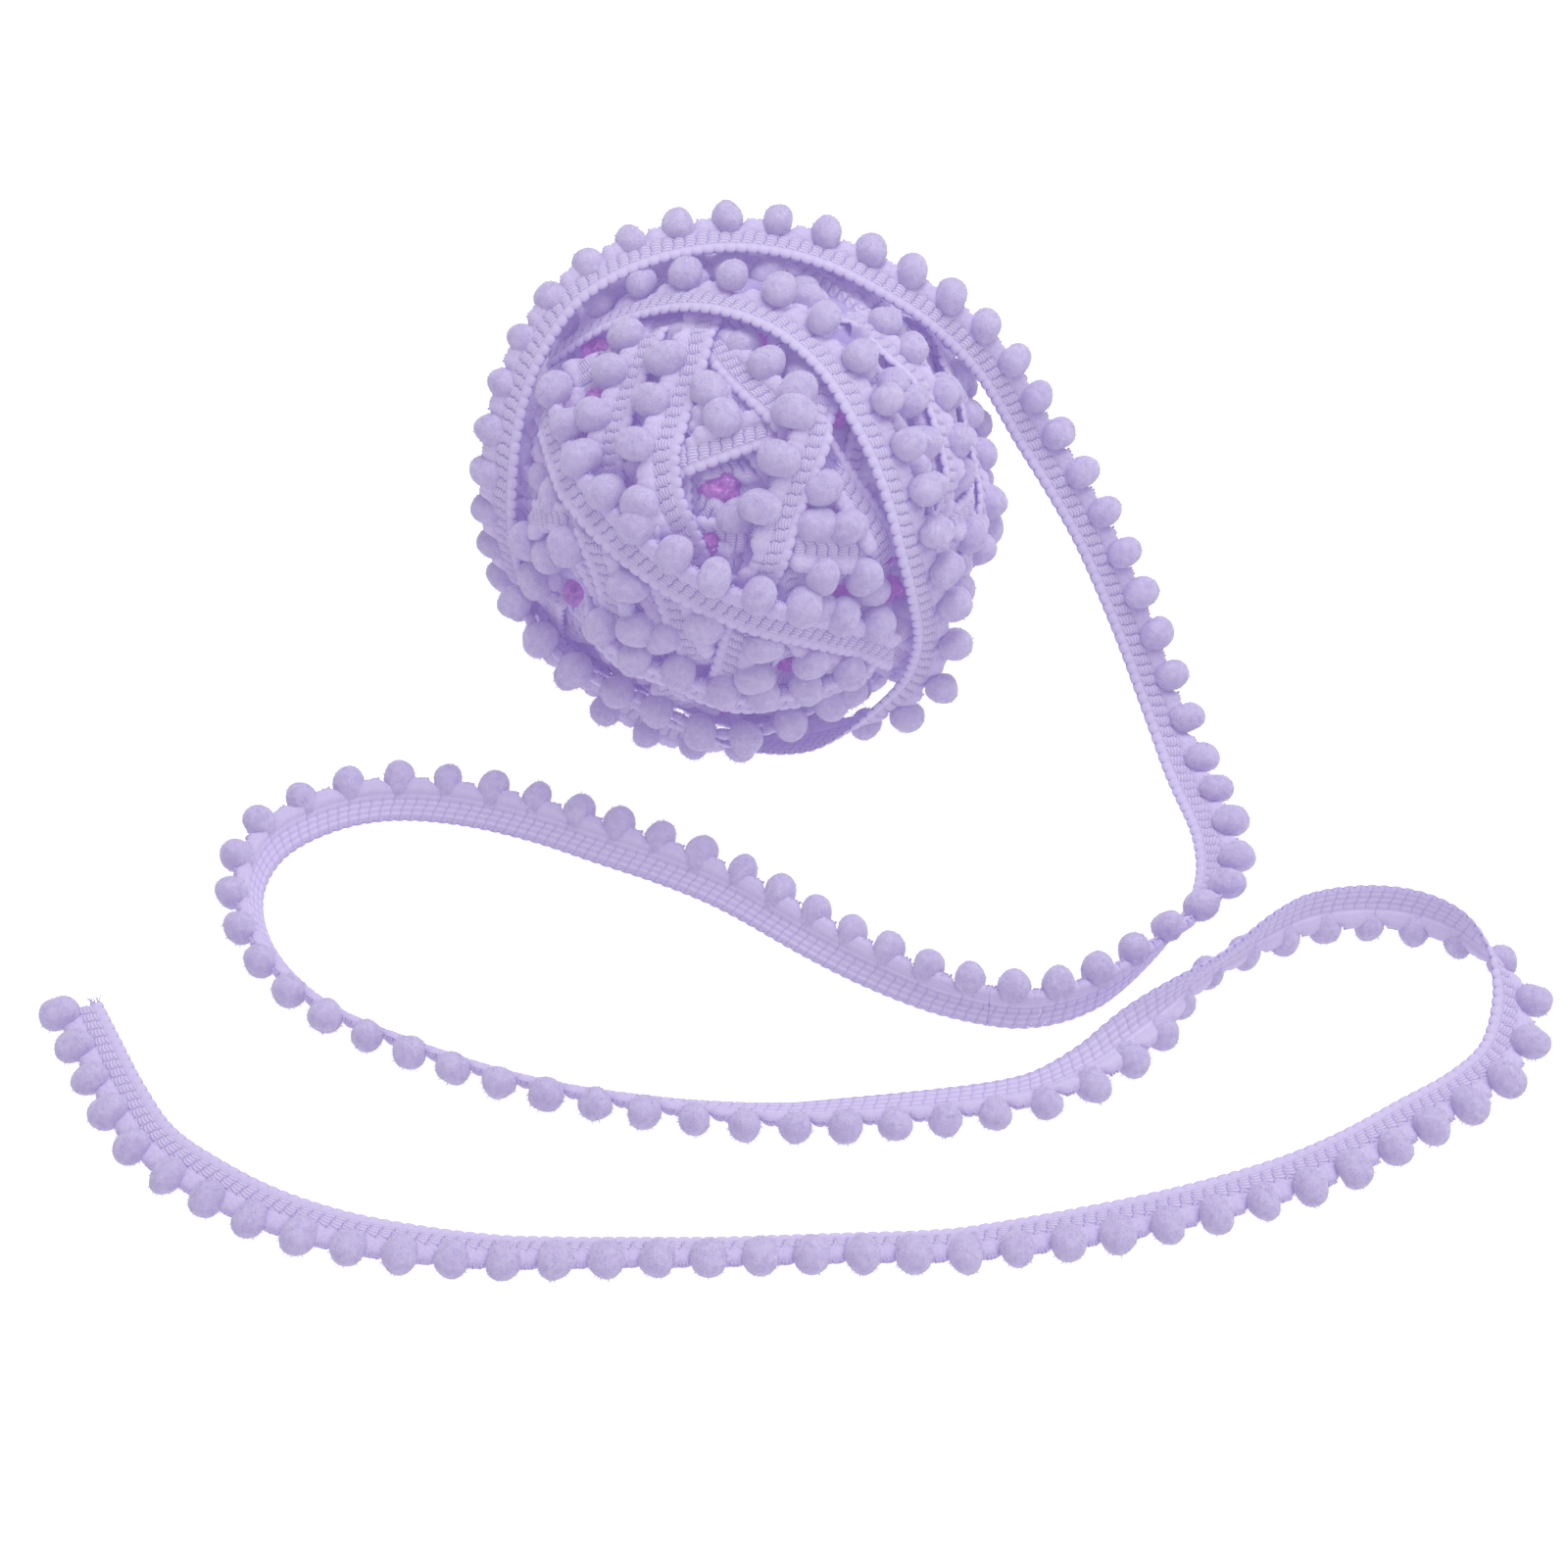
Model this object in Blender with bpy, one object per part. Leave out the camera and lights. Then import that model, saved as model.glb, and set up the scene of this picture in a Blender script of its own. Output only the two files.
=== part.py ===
"""Pompom fringe trim: a knitted tape with a row of pompoms, wound into a ball round a film core.

Three solids: the crumpled film core, the wound ball, and the outermost turn, which leaves the
ball, drops to the surface and lies there in three sweeps up to its cut end.
Metres, +Z up, origin under the ball where its flat spot rests.
"""
import math

import bmesh
import bpy
import numpy as np

MM = 0.001

# ---- driving dimensions -------------------------------------------------------------------
TAPE_WIDTH = 7.0 * MM
TAPE_THICK = 1.5 * MM
POMPOM_R = 3.2 * MM
POMPOM_OUT = 1.3 * MM            # pompom centre beyond the tape's edge
POMPOM_PITCH = 8.8 * MM
BALL_HEIGHT = 48.0 * MM          # ball centre over the surface it rests on
FACE_TILT = math.radians(44)     # the ball's best face looks up by this much
CORE_R = 40.2 * MM
CORE_CRUMPLE = 1.6 * MM
CAVITY_R = 41.2 * MM
POMPOM_SINK = 0.6 * MM           # how far a wound pompom is pressed in under its tape's face
UNDER_R = 44.8 * MM              # the lowest turns lie on this radius
TURN_LIFT = 1.5 * MM             # how far a turn rises over the turns below it
WOUND_LIMIT_R = 50.0 * MM
TURN_GAP = 1.5 * MM              # clear space under the loose last turn
FLAT_SPOT_R = 11.0 * MM          # the ball is pressed flat at least this far round its foot
FLAT_SLACK = 0.02 * MM
GRID_FREQ = 40                   # fineness of the wound surface before it is thinned
WOUND_FACES = 5600
LOOSE_FACES = 8400
CAVITY_FREQ = 7
CORE_FREQ = 6

STATION_STEP = POMPOM_PITCH / 2  # stations along the loose trim
COURSES = 4                      # stations to each pompom along a wound turn
COURSE_STEP = POMPOM_PITCH / COURSES
RIPPLE_SPAN = 7                  # a turn's height is averaged over this many stations
BED_PERCENT = 70                 # a turn rides over this share of what lies below it
NEAR_BALL_R = WOUND_LIMIT_R + 12 * MM
CLEAR_LINES = 7                  # lines across the loose tape that are kept clear
CLEAR_SPACING = 1.9 * MM         # each point of the loose tape clears this much round it
TUCK_IN = 2.7 * MM               # how far a tucked pompom moves back along the tape's width
TUCK_DOWN = 3.3 * MM             # and how far it goes behind the tape
CORE_SEED = 3
LEAST_DIP = 0.2                  # directions that dip less than this stay clear of the floor
SLIVER = 0.03 * MM
POMPOM_TWIST = 0.4               # each pompom is turned by this against the one before
CHANNEL_IN = CAVITY_R - 3 * MM
CHANNEL_OUT = WOUND_LIMIT_R + 8 * MM

POMPOM_REACH = TAPE_WIDTH / 2 + POMPOM_OUT
CENTRE = np.array([0.0, 0.0, BALL_HEIGHT])
ACROSS = np.array([1.0, 0.0, 0.0])
FACE_UP = np.array([0.0, math.sin(FACE_TILT), math.cos(FACE_TILT)])
FACE_OUT = np.array([0.0, -math.cos(FACE_TILT), math.sin(FACE_TILT)])

# ---- the last, loose turn: a ring round the ball, seen along the ball's best face ----------
# turn: clock angle, reach: distance from the ring's axis, proud: height over the ball's centre
# plane, lift: how far the pompom edge dips behind the ring's plane
LAST_TURN = (
    # turn_deg, reach_mm, proud_mm, lift_deg
    (148, 42.5, 19.5, 63),
    (136, 39.3, 25.2, 58),
    (123, 36.3, 29.8, 51),
    (108, 33.3, 34.8, 45),
    (92, 30.2, 38.8, 38),
    (74, 27.5, 41.6, 33),
    (57, 25.5, 43.0, 30),
    (41, 24.5, 43.7, 29),
    (20, 24.5, 43.7, 29),
    (3, 26.5, 42.6, 32),
    (-12, 30.0, 40.4, 36),
    (-24, 34.5, 37.0, 42),
    (-33, 40.5, 30.5, 50),
    (-40, 46.5, 21.5, 55),
    (-48, 50.8, 13.5, 50),
    (-57, 52.0, 8.0, 64),
    (-66, 52.0, 3.0, 95),
    (-76, 51.6, -1.5, 122),
    (-89, 50.9, -6.5, 98),
    (-103, 50.3, -10.5, 54),
    (-116, 49.3, -12.5, 50),
    (-130, 48.0, -11.5, 56),
    (-144, 47.4, -6.5, 62),
    (-156, 47.8, 5.0, 64),
    (-168, 46.6, 16.0, 47),
    (-181, 45.0, 24.0, 30),
    (-196, 44.8, 26.6, 25),
    (-211, 45.4, 28.0, 24),
    (-226, 46.0, 28.6, 27),
    (-239, 45.4, 28.4, 26),
    (-252, 44.8, 27.2, 26),
    (-266, 44.5, 25.8, 28),
    (-280, 44.4, 24.6, 28),
    (-294, 44.7, 23.6, 28),
    (-307, 45.7, 21.4, 27),
    (-318, 48.0, 18.0, 25),
    (-328, 50.6, 13.4, 19),
    (-337, 53.2, 8.4, 16),
)
# how far the pompoms of the last turn are tucked behind the tape, or stand before it
TUCK = (
    # turn_deg, share
    (148, -0.3),
    (-50, -0.3),
    (-75, 0.0),
    (-140, 0.1),
    (-156, 0.3),
    (-185, 0.4),
    (-215, 0.5),
    (-239, 0.4),
    (-252, 0.25),
    (-266, 0.1),
    (-318, 0.0),
)
# the drop from the ball to the surface: tape middle, and how the pompom edge leans
DROP = (
    # x_mm, y_mm, z_mm, lean_deg
    (56, 6, 56.5, 30),
    (62, 1, 48.5, 32),
    (68, -4, 39.5, 30),
    (73, -9, 30.0, 26),
    (77.5, -14, 20.5, 20),
    (81.5, -19.5, 11.5, 12),
    (85, -27, 5.0, 7),
)
# on the surface: tape middle, and the pompom edge's lean, 0 flat to the left of the way
# it runs, 90 straight up, 180 flat to the right, 270 straight down
FLOOR_RUN = (
    # x_mm, y_mm, lean_deg
    (88, -38, 8),
    (91, -51, 12),
    (90.5, -62, 24),
    (86, -72, 52),
    (77.5, -83, 82),
    (66, -94, 102),
    (53, -98.5, 109),
    (39, -95.5, 115),
    (26, -88.5, 128),
    (14, -80, 138),
    (-2, -67.5, 142),
    (-14, -60.5, 143),
    (-27, -54.5, 143),
    (-40, -48.5, 144),
    (-54, -44, 145),
    (-68, -42.5, 146),
    (-80, -45.5, 146),
    (-90, -53.5, 138),
    (-93.5, -65, 128),
    (-91, -78, 128),
    (-84, -89.5, 132),
    (-74, -98.5, 136),
    (-61, -105.5, 139),
    (-47.5, -111.5, 141),
    (-34, -116, 143),
    (-20, -119, 147),
    (-7, -120.8, 152),
    (6, -121.5, 160),
    (20, -121, 168),
    (33, -120, 173),
    (46, -118, 174),
    (55, -115.5, 177),
    (64, -110.5, 191),
    (71, -105, 217),
    (78, -99.5, 253),
    (85, -93, 285),
    (92, -87, 288),
    (99, -81.5, 270),
    (107, -76.5, 256),
    (117, -74.5, 251),
    (126, -75.5, 254),
    (133.5, -79.5, 266),
    (139, -86, 296),
    (142, -94, 333),
    (141, -102, 350),
    (137.5, -109.5, 358),
    (130, -116.5, 360),
    (121, -122.5, 359),
    (110, -130, 357),
    (98.5, -136, 358),
    (86.5, -140.5, 360),
    (73.5, -144.3, 363),
    (60, -147.3, 367),
    (47, -149.5, 373),
    (34, -151, 380),
    (21, -151.5, 384),
    (9, -152, 385),
    (-4, -152.5, 385),
    (-18, -152.5, 384),
    (-31, -152.5, 381),
    (-45, -152, 375),
    (-58, -150.5, 369),
    (-70, -148, 364),
    (-82, -143.5, 360),
    (-93, -137, 358),
    (-103, -129, 357),
    (-110, -118.5, 358),
    (-117, -105, 362),
    (-121, -97, 366),
)

# ---- turns on the ball's best face, lowest first -------------------------------------------
# side: which side of its way a turn's pompoms lie, then places across and up the face
FACE_TURNS = (
    # name, side, ((across_mm, up_mm), ...)
    ("left_low", 1, ((-29, -5), (-27.2, -12.7), (-25.5, -19), (-24.3, -26), (-23.5, -32))),
    ("low_left", 1, ((-17.5, -15), (-16, -19), (-13.2, -24.6), (-11, -30.4), (-9, -35))),
    ("low_short", 1, ((1.8, -26), (-0.3, -32), (-2.2, -38))),
    ("bottom_row", 1, ((-28, -31), (-20, -37), (-11.5, -40.5), (-3.5, -43.3), (4.5, -43.8),
                       (15, -41.8), (23, -38.5))),
    ("underside_row", 1, ((-45.5, -14.5), (-42, -23), (-37, -30.5), (-30, -37.3), (-21.5, -42.8),
                          (-11, -46.6), (0, -47.9), (10, -46.8), (18, -44.3))),
    ("right_limb", 1, ((38, 29), (43, 20), (46.5, 10), (47.8, -1), (46.2, -12), (42, -22))),
    ("right_inner", -1, ((14.5, 6), (16.6, 2.8), (19.9, -2.2), (23.3, -7.1), (26, -12))),
    ("middle_fold", 1, ((-10, 1), (-2, 4), (7, 7))),
    ("upper_short", 1, ((-3.5, 22.1), (-0.9, 18.6), (2.8, 14.4), (7.1, 10))),
    ("upper_left", -1, ((-17.7, 25.8), (-19.4, 21.1), (-21.6, 16.6), (-23, 11.3), (-24.1, 6.9))),
    ("right_rim", 1, ((25.4, 27.8), (28.8, 23.6), (33.3, 18.9), (36.6, 13.4), (38.6, 7.4),
                      (40.2, 0.8))),
    ("left_middle", -1, ((-7.3, 27.4), (-9.2, 20.3), (-11.4, 13.5), (-12.9, 7.1), (-14, 1.3),
                         (-13.5, -4.6), (-12.5, -8.2))),
    ("right_middle", -1, ((17.2, 15.5), (15.5, 11.3), (13.5, 4.2), (11, -3.2), (8.7, -9),
                          (6.4, -15.8))),
    ("diagonal", 1, ((-38, 12), (-36.2, 7.9), (-31.8, -1.5), (-24.9, -10.3), (-17.5, -17),
                     (-8.7, -22.9), (1.6, -27.2), (11.9, -30), (23.3, -32.6), (31.5, -34))),
)
# whole turns below those, wound in changing directions
UNDER_TURNS = 9
UNDER_ADVANCE = math.radians(137)
UNDER_TIP = (math.radians(25), math.radians(75), math.radians(50))
UNDER_SWAY = 0.12

# gaps between the turns where the core shows
GAPS = (
    # across_mm, up_mm, long_mm, wide_mm, slant_deg, front
    (-29, 25, 6.0, 4.4, 40, True),
    (-34, -13, 5.0, 4.2, 80, True),
    (-22, -30, 5.0, 4.2, 20, True),
    (-4, -1, 5.0, 4.2, 0, True),
    (14, -5, 5.0, 4.2, 30, True),
    (28, -16, 9.0, 4.4, 100, True),
    (10, -35, 9.0, 4.4, 10, True),
    (-1, -35, 4.4, 4.2, 70, True),
    (-20, 14, 6.0, 4.4, 60, False),
    (16, 22, 6.0, 4.4, 120, False),
    (6, -12, 7.0, 4.4, 15, False),
    (26, -2, 5.0, 4.4, 75, False),
)


def unit(v):
    return v / np.linalg.norm(v, axis=-1, keepdims=True)


def face_point(across, up, radius, front=True):
    """The point of a sphere that is seen at these places on the ball's face, or behind it."""
    depth = math.sqrt(max(radius ** 2 - across ** 2 - up ** 2, 0.0))
    sign = 1.0 if front else -1.0
    return ACROSS * across + FACE_UP * up + FACE_OUT * depth * sign


def smooth_path(keys, step):
    """A Catmull-Rom curve through the keys, resampled at an even step of its first three columns."""
    keys = np.asarray(keys, dtype=float)
    before = 2 * keys[0] - keys[1]
    after = 2 * keys[-1] - keys[-2]
    padded = np.vstack([before, keys, after])
    fine = []
    per_key = 12
    for i in range(1, len(padded) - 2):
        p0, p1, p2, p3 = padded[i - 1:i + 3]
        for k in range(per_key):
            t = k / per_key
            fine.append(0.5 * (2 * p1 + (p2 - p0) * t + (2 * p0 - 5 * p1 + 4 * p2 - p3) * t ** 2
                               + (3 * p1 - p0 - 3 * p2 + p3) * t ** 3))
    fine.append(padded[-2])
    fine = np.array(fine)
    travelled = np.concatenate([[0.0], np.cumsum(np.linalg.norm(np.diff(fine[:, :3], axis=0), axis=1))])
    count = max(int(round(travelled[-1] / step)), 2)
    stations = np.linspace(0.0, travelled[-1], count + 1)
    return np.column_stack([np.interp(stations, travelled, column) for column in fine.T])


def lean_vector(heading, lean_deg):
    """The way from the tape to its pompoms for a tape that runs along heading."""
    level = np.array([heading[0], heading[1], 0.0])
    left = unit(np.array([-level[1], level[0], 0.0]))
    rise = np.cross(unit(heading), left)
    lean = math.radians(lean_deg)
    return math.cos(lean) * left + math.sin(lean) * rise


def resting_height(across_z):
    """Height of the tape's middle when its pompoms or its free edge rest on the surface."""
    on_pompoms = POMPOM_R - POMPOM_REACH * across_z
    face_z = math.sqrt(max(1.0 - across_z ** 2, 0.0))
    on_edge = TAPE_WIDTH / 2 * across_z + TAPE_THICK / 2 * face_z
    return max(on_pompoms, on_edge)


def loose_route():
    """Stations along the loose trim: tape middle, heading, the way towards the pompoms, tuck."""
    rows = []
    tuck_turns = [-turn for turn, _ in TUCK]
    tuck_shares = [share for _, share in TUCK]
    for turn, reach, proud, lift in LAST_TURN:
        spoke = math.cos(math.radians(turn)) * ACROSS + math.sin(math.radians(turn)) * FACE_UP
        middle = CENTRE + spoke * reach * MM + FACE_OUT * proud * MM
        towards = math.cos(math.radians(lift)) * spoke - math.sin(math.radians(lift)) * FACE_OUT
        tuck = np.interp(-turn, tuck_turns, tuck_shares)
        rows.append(np.concatenate([middle, towards, [0.0, tuck]]))
    drop = [np.array([x, y, z]) * MM for x, y, z, _ in DROP]
    leans = [lean for *_, lean in DROP]
    for spot, fall, lean in zip(drop, np.gradient(drop, axis=0), leans):
        rows.append(np.concatenate([spot, lean_vector(fall, lean), [0.0, 0.0]]))
    floor = [np.array([x, y, 0.0]) * MM for x, y, _ in FLOOR_RUN]
    for spot, heading, (_, _, lean) in zip(floor, np.gradient(floor, axis=0), FLOOR_RUN):
        towards = lean_vector(heading, lean)
        lift = np.array([0.0, 0.0, resting_height(towards[2])])
        rows.append(np.concatenate([spot + lift, towards, [1.0, 0.0]]))
    stations = smooth_path(rows, STATION_STEP)
    middle = stations[:, :3]
    heading = unit(np.gradient(middle, axis=0))
    towards = stations[:, 3:6]
    towards = unit(towards - heading * np.sum(towards * heading, axis=1, keepdims=True))
    laid = np.clip(stations[:, 6], 0.0, 1.0)
    resting = np.array([resting_height(z) for z in towards[:, 2]])
    middle[:, 2] = middle[:, 2] * (1 - laid) + resting * laid
    return middle, heading, towards, stations[:, 7]


def pompom_places(loose):
    """Pompom centres, one at every other station, held off the surface by their own radius."""
    middle, heading, towards, tuck = (column[1::2] for column in loose)
    face = np.cross(heading, towards)
    tuck = tuck[:, None]
    places = middle + towards * (POMPOM_REACH - TUCK_IN * tuck) - face * TUCK_DOWN * tuck
    places[:, 2] = np.maximum(places[:, 2], POMPOM_R)
    return places


def geodesic(freq):
    """Unit points and triangles of an icosahedron whose faces are split freq times."""
    golden = (1 + math.sqrt(5)) / 2
    corners = unit(np.array([(-1, golden, 0), (1, golden, 0), (-1, -golden, 0), (1, -golden, 0),
                             (0, -1, golden), (0, 1, golden), (0, -1, -golden), (0, 1, -golden),
                             (golden, 0, -1), (golden, 0, 1), (-golden, 0, -1), (-golden, 0, 1)]))
    faces = ((0, 11, 5), (0, 5, 1), (0, 1, 7), (0, 7, 10), (0, 10, 11), (1, 5, 9), (5, 11, 4),
             (11, 10, 2), (10, 7, 6), (7, 1, 8), (3, 9, 4), (3, 4, 2), (3, 2, 6), (3, 6, 8),
             (3, 8, 9), (4, 9, 5), (2, 4, 11), (6, 2, 10), (8, 6, 7), (9, 8, 1))
    found = {}
    points = []
    triangles = []

    def place(a, b, c, i, j):
        spot = (corners[a] * (freq - i - j) + corners[b] * i + corners[c] * j) / freq
        key = tuple(np.round(spot, 7))
        if key not in found:
            found[key] = len(points)
            points.append(spot)
        return found[key]

    for a, b, c in faces:
        for i in range(freq):
            for j in range(freq - i):
                triangles.append((place(a, b, c, i, j), place(a, b, c, i + 1, j),
                                  place(a, b, c, i, j + 1)))
                if i + j < freq - 1:
                    triangles.append((place(a, b, c, i + 1, j), place(a, b, c, i + 1, j + 1),
                                      place(a, b, c, i, j + 1)))
    return unit(np.array(points)), triangles


def turn_routes():
    """Every wound turn as unit directions along its way with its pompom side, lowest first."""
    routes = []
    for n in range(UNDER_TURNS):
        roll = n * UNDER_ADVANCE
        tip = UNDER_TIP[n % len(UNDER_TIP)]
        pole = np.array([math.cos(roll) * math.sin(tip), math.sin(roll) * math.sin(tip), math.cos(tip)])
        start = unit(np.cross(pole, FACE_OUT))
        other = np.cross(pole, start)
        angles = np.arange(0.0, 2 * math.pi, COURSE_STEP / WOUND_LIMIT_R)
        way = [start * math.cos(a) + other * math.sin(a) + pole * UNDER_SWAY * math.sin(2 * a + n)
               for a in angles]
        routes.append((unit(np.array(way)), 1.0 if n % 2 else -1.0))
    for _, side, places in FACE_TURNS:
        keys = [face_point(a * MM, u * MM, WOUND_LIMIT_R - TURN_LIFT) for a, u in places]
        way = smooth_path(keys, COURSE_STEP)
        routes.append((unit(way), float(side)))
    return routes


def ball_radii(directions, loose):
    """How far the wound ball reaches along each direction."""
    reach = np.full(len(directions), UNDER_R)
    half_width = TAPE_WIDTH / 2
    for way, side in turn_routes():
        beside = np.arccos(np.clip(directions @ way.T, -1.0, 1.0)) * WOUND_LIMIT_R
        below = np.array([np.percentile(reach[beside[:, k] < half_width], BED_PERCENT)
                          for k in range(len(way))])
        window = np.ones(RIPPLE_SPAN) / RIPPLE_SPAN
        below = np.convolve(np.pad(below, RIPPLE_SPAN // 2, mode="edge"), window, mode="valid")
        top = np.minimum(below + TURN_LIFT, WOUND_LIMIT_R)
        nearest = beside.argmin(axis=1)
        on_tape = beside[np.arange(len(directions)), nearest] < half_width
        reach[on_tape] = top[nearest[on_tape]]
        heading = unit(np.gradient(way, axis=0))
        towards = np.cross(way, heading) * side
        for k in range(2, len(way) - 1, COURSES):
            spot = unit(way[k] + towards[k] * POMPOM_REACH / WOUND_LIMIT_R)
            raise_ball(directions, reach, spot * (top[k] - POMPOM_SINK))
    lower_under(directions, reach, loose)
    down = np.maximum(-directions[:, 2], LEAST_DIP)
    floor_reach = BALL_HEIGHT / down
    pressed_flat = down > BALL_HEIGHT / math.hypot(BALL_HEIGHT, FLAT_SPOT_R)
    return np.where(pressed_flat, floor_reach, np.minimum(reach, floor_reach))


def raise_ball(directions, reach, centre):
    """Lifts the reach to the far side of a pompom at this centre."""
    along = directions @ centre
    inside = along ** 2 - centre @ centre + POMPOM_R ** 2
    hit = (inside > 0) & (along > 0)
    reach[hit] = np.maximum(reach[hit], along[hit] + np.sqrt(inside[hit]))


def lower_under(directions, reach, loose):
    """Keeps the ball clear of the loose last turn: its tape, then its pompoms."""
    middle, _, towards, _ = loose
    for offset in np.linspace(-0.5, 0.5, CLEAR_LINES) * (TAPE_WIDTH + MM):
        line = middle - CENTRE + towards * offset
        between = (line[1:] + line[:-1]) / 2
        for spot in np.vstack([line, between]):
            far = np.linalg.norm(spot)
            if far > NEAR_BALL_R:
                continue
            near = directions @ (spot / far) > math.cos(CLEAR_SPACING / far)
            limit = far - TAPE_THICK / 2 - TURN_GAP
            reach[near] = np.minimum(reach[near], limit)
    for spot in pompom_places(loose) - CENTRE:
        if np.linalg.norm(spot) > NEAR_BALL_R:
            continue
        along = directions @ spot
        inside = along ** 2 - spot @ spot + (POMPOM_R + TURN_GAP) ** 2
        hit = (inside > 0) & (along > 0)
        limit = along[hit] - np.sqrt(inside[hit])
        reach[hit] = np.minimum(reach[hit], limit)


# ---- objects -------------------------------------------------------------------------------
def finish_material(name, colour, roughness):
    material = bpy.data.materials.new(name)
    material.use_nodes = True
    shader = material.node_tree.nodes["Principled BSDF"]
    shader.inputs["Base Color"].default_value = (*colour, 1.0)
    shader.inputs["Roughness"].default_value = roughness
    shader.inputs["Metallic"].default_value = 0.0
    return material


def add_object(name, points, faces, material):
    mesh = bpy.data.meshes.new(name)
    mesh.from_pydata([tuple(p) for p in points], [], [tuple(f) for f in faces])
    mesh.update()
    if material:
        mesh.materials.append(material)
    obj = bpy.data.objects.new(name, mesh)
    bpy.context.scene.collection.objects.link(obj)
    return obj


def thin_out(obj, count):
    """Merges the smallest facets until about this many triangles are left."""
    triangles = sum(len(face.vertices) - 2 for face in obj.data.polygons)
    thin = obj.modifiers.new("thin", "DECIMATE")
    thin.ratio = count / triangles
    settle(obj)
    for vertex in obj.data.vertices:
        if vertex.co.z < FLAT_SLACK:
            vertex.co.z = 0.0


def settle(obj):
    """Replaces an object's mesh by what its modifiers make of it."""
    bpy.context.view_layer.update()
    graph = bpy.context.evaluated_depsgraph_get()
    settled = bpy.data.meshes.new_from_object(obj.evaluated_get(graph))
    obj.modifiers.clear()
    old = obj.data
    obj.data = settled
    bpy.data.meshes.remove(old)


def drop_slivers(obj):
    """Joins the points that a union leaves almost on top of each other."""
    joined = bmesh.new()
    joined.from_mesh(obj.data)
    bmesh.ops.remove_doubles(joined, verts=joined.verts, dist=SLIVER)
    bmesh.ops.dissolve_degenerate(joined, edges=joined.edges, dist=SLIVER)
    joined.to_mesh(obj.data)
    joined.free()


def cut_with(obj, cutter, operation):
    cutter.hide_render = True
    cutter.display_type = "WIRE"
    step = obj.modifiers.new(cutter.name, "BOOLEAN")
    step.operation = operation
    step.solver = "EXACT"
    step.object = cutter
    settle(obj)
    bpy.data.objects.remove(cutter)


def gap_channels():
    """Radial channels of oval section, from inside the cavity to outside the ball."""
    points = []
    faces = []
    sides = 8
    for across, up, long, wide, slant, front in GAPS:
        spot = unit(face_point(across * MM, up * MM, WOUND_LIMIT_R, front))
        lengthways = unit(np.cross(spot, FACE_UP))
        crossways = np.cross(spot, lengthways)
        turn = math.radians(slant)
        base = len(points)
        for radius in (CHANNEL_IN, CHANNEL_OUT):
            for k in range(sides):
                angle = 2 * math.pi * k / sides
                a = math.cos(angle) * long * MM / 2
                b = math.sin(angle) * wide * MM / 2
                shift = (lengthways * (a * math.cos(turn) - b * math.sin(turn))
                         + crossways * (a * math.sin(turn) + b * math.cos(turn)))
                points.append(CENTRE + spot * radius + shift * radius / WOUND_LIMIT_R)
        for k in range(sides):
            ahead = (k + 1) % sides
            faces.append((base + k, base + ahead, base + sides + ahead, base + sides + k))
        faces.append(tuple(base + k for k in reversed(range(sides))))
        faces.append(tuple(base + sides + k for k in range(sides)))
    return add_object("gap_channels", points, faces, None)


def make_winding(material, loose):
    directions, triangles = geodesic(GRID_FREQ)
    reach = ball_radii(directions, loose)
    ball = add_object("winding", CENTRE + directions * reach[:, None], triangles, material)
    thin_out(ball, WOUND_FACES)
    spots = np.array([vertex.co for vertex in ball.data.vertices]) - CENTRE
    reach = np.linalg.norm(spots, axis=1)
    directions = unit(spots)
    lower_under(directions, reach, loose)
    for vertex, spot in zip(ball.data.vertices, CENTRE + directions * reach[:, None]):
        vertex.co = spot
    rounds, cells = geodesic(CAVITY_FREQ)
    cavity = add_object("cavity", CENTRE + rounds * CAVITY_R, cells, None)
    cut_with(ball, cavity, "DIFFERENCE")
    cut_with(ball, gap_channels(), "DIFFERENCE")
    return ball


def make_core(material):
    """A ball of crumpled film: rounded, with seeded dents and creases."""
    directions, triangles = geodesic(CORE_FREQ)
    chance = np.random.default_rng(CORE_SEED)
    dents = chance.uniform(0.0, 1.0, len(directions)) ** 2
    radii = CORE_R - CORE_CRUMPLE * dents
    return add_object("core", CENTRE + directions * radii[:, None], triangles, material)


def make_tape(material, middle, heading, towards):
    """The loose tape as one strip of four-cornered sections."""
    face = np.cross(heading, towards)
    corners = ((-1, -1), (1, -1), (1, 1), (-1, 1))
    points = []
    for spot, across, out in zip(middle, towards, face):
        for a, b in corners:
            corner = spot + across * a * TAPE_WIDTH / 2 + out * b * TAPE_THICK / 2
            corner[2] = max(corner[2], 0.0)
            points.append(corner)
    faces = []
    for i in range(len(middle) - 1):
        for k in range(4):
            ahead = (k + 1) % 4
            faces.append((4 * i + k, 4 * i + ahead, 4 * i + 4 + ahead, 4 * i + 4 + k))
    last = 4 * (len(middle) - 1)
    faces.append((3, 2, 1, 0))
    faces.append((last, last + 1, last + 2, last + 3))
    return add_object("loose_end", points, faces, material)


def make_pompoms(places):
    """Six-sided pompoms, each with a small level foot."""
    rings = ((-1.0, 0.48), (0.0, 1.04), (1.0, 0.48))
    sides = 6
    points = []
    faces = []
    for n, place in enumerate(places):
        base = len(points)
        twist = POMPOM_TWIST * n
        for height, width in rings:
            for k in range(sides):
                angle = 2 * math.pi * k / sides + twist
                points.append(place + np.array([math.cos(angle) * width, math.sin(angle) * width,
                                                height]) * POMPOM_R)
        for ring in range(len(rings) - 1):
            for k in range(sides):
                low = base + ring * sides
                ahead = (k + 1) % sides
                faces.append((low + k, low + ahead, low + sides + ahead, low + sides + k))
        top = base + (len(rings) - 1) * sides
        faces.append(tuple(base + k for k in reversed(range(sides))))
        faces.append(tuple(top + k for k in range(sides)))
    return add_object("pompoms", points, faces, None)


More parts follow.
